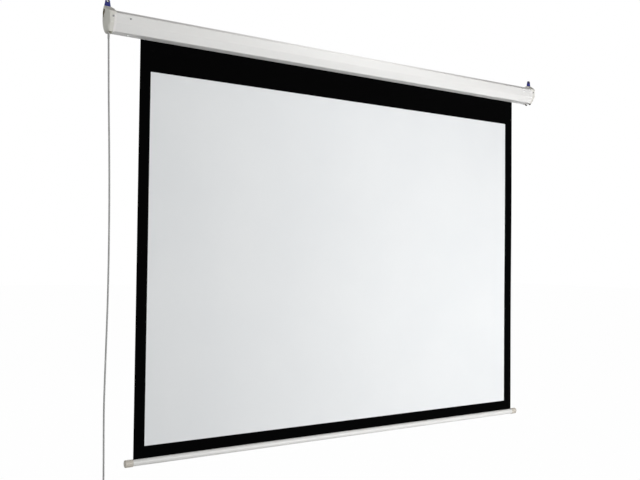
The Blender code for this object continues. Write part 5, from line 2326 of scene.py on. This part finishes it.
@dataclass
class Studio:
    """Camera, lamps, a white surround, a floor and a dim ceiling."""

    eye: Place = (-1.9943, -2.9234, -0.9219)
    yaw: float = 32.1468
    pitch: float = 1.5028
    roll: float = 0.6408
    focal_px: float = 748.678
    image_width: float = 640.0
    sensor: float = 36.0
    sight: float = 200.0
    floor_z: float = -2.12
    floor_half: float = 30.0
    floor_colour: Colour = (0.45, 0.45, 0.445)
    floor_glow: float = 0.99
    ambient: float = 0.12
    ceiling_z: float = 2.4
    ceiling_half: float = 9.0
    ceiling_colour: Colour = (0.10, 0.085, 0.075)
    lamps: tuple[SoftLight, ...] = (
        SoftLight("main_lamp", (0.8, -3.6, -0.3), (0.0, 0.0, -0.7), 2.0, 49.0),
        SoftLight("low_lamp", (1.5, -3.0, -1.9), (0.0, 0.0, -0.7), 1.2, 92.0),
        SoftLight("side_lamp", (-5.0, -1.6, 0.2), (-1.1, 0.0, -0.1), 1.2, 65.0, (0.98, 1.0, 0.98)),
        SoftLight("upper_lamp", (0.0, -0.3, 0.85), (0.0, -0.05, 0.0), 0.7, 6.8),
        SoftLight("rear_lamp", (1.2, 4.2, 0.35), (0.0, 0.0, -0.4), 1.0, 110.0),
    )

    def camera(self) -> None:
        """Set up the camera at the photograph's place."""
        data = bpy.data.cameras.new("camera")
        data.sensor_width = self.sensor
        data.lens = self.focal_px / self.image_width * self.sensor
        data.clip_end = self.sight
        camera = linked("camera", data)
        yaw, pitch, roll = (math.radians(a) for a in (self.yaw, self.pitch, self.roll))
        level = Vector((math.sin(yaw), math.cos(yaw), 0.0))
        forward = level * math.cos(pitch) + Vector((0, 0, math.sin(pitch)))
        right = Vector((math.cos(yaw), -math.sin(yaw), 0.0))
        up = Vector((0, 0, math.cos(pitch))) - level * math.sin(pitch)
        right_rolled = right * math.cos(roll) + up * math.sin(roll)
        up_rolled = up * math.cos(roll) - right * math.sin(roll)
        turn = Matrix((right_rolled, up_rolled, -forward)).transposed().to_4x4()
        camera.matrix_world = Matrix.Translation(self.eye) @ turn
        bpy.context.scene.camera = camera

    def whiten(self, bench: NodeBench, lit: Socket, kind: str, share: Socket, out: str) -> None:
        """Make a surface that lights as one thing look white.

        Args:
            bench: the nodes.
            lit: the shader that lights the object.
            kind: the type name of the white shader.
            share: how far the white one shows.
            out: the name of the output node.
        """
        white = bench.add(kind)
        white.inputs["Color"].default_value = (*WHITE, 1.0)
        white.inputs["Strength"].default_value = 1.0
        mix = bench.add("MixShader")
        for socket, source in zip(mix.inputs, (share, lit, white.outputs[0])):
            bench.join(source, socket)
        bench.join(mix.outputs[0], bench.tree.nodes[out].inputs["Surface"])

    def surround(self) -> None:
        """A white world behind the object that lights it at a lower level."""
        bench = NodeBench(bpy.data.worlds.new("surround"))
        bpy.context.scene.world = bench.owner
        lit = bench.tree.nodes["Background"]
        lit.inputs["Color"].default_value = (*WHITE, 1.0)
        lit.inputs["Strength"].default_value = self.ambient
        self.whiten(bench, lit.outputs[0], "Background", bench.seen(), "World Output")

    def backdrop(self, name: str, half: float, height: float) -> Piece:
        """A level square sheet.

        Args:
            name: its name.
            half: half of its width.
            height: its height.

        Returns:
            The sheet.
        """
        sketch = Sketch()
        corners = [(-half, -half), (half, -half), (half, half), (-half, half)]
        sketch.bm.faces.new(sketch.ring([(x, y, height) for x, y in corners]))
        sheet = sketch.finish(name)
        sheet.modifiers.clear()
        return sheet

    def ceiling(self) -> None:
        """A dim ceiling, out of the camera's sight, that keeps upward faces darker."""
        sheet = self.backdrop("studio_ceiling", self.ceiling_half, self.ceiling_z)
        sheet.visible_camera = False
        bench = NodeBench(bpy.data.materials.new("dim_ceiling"))
        colour = (*self.ceiling_colour, 1.0)
        bench.settings(Base_Color=colour, Roughness=0.95, Specular_IOR_Level=0.05)
        sheet.data.materials.append(bench.owner)

    def floor(self) -> None:
        """A mid grey floor that looks white to the camera."""
        sheet = self.backdrop("studio_floor", self.floor_half, self.floor_z)
        bench = NodeBench(bpy.data.materials.new("pale_floor"))
        colour = (*self.floor_colour, 1.0)
        bench.settings(Base_Color=colour, Roughness=0.9, Specular_IOR_Level=0.1)
        share = bench.maths("MULTIPLY", bench.seen(), self.floor_glow)
        self.whiten(bench, bench.shader.outputs[0], "Emission", share, "Material Output")
        sheet.data.materials.append(bench.owner)

    def build(self) -> None:
        """Set up the whole studio."""
        bpy.context.scene.view_settings.view_transform = "Standard"
        self.camera()
        self.surround()
        self.floor()
        self.ceiling()
        for lamp in self.lamps:
            lamp.build()


def main() -> None:
    """Load the frame and make every sub-assembly."""
    logging.basicConfig(level=logging.INFO, format="%(message)s")
    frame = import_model()
    Studio().build()
    MainsLead().build()
    Casing().build()
    for side in Side:
        EndCap(side).build()
        Ear(side).build()
    Screws().build()
    Feet().build()
    ScreenCloth().build(frame)
    WeightBar().build()
    InnerParts().build(frame["nodes"])


if __name__ == "__main__":
    main()
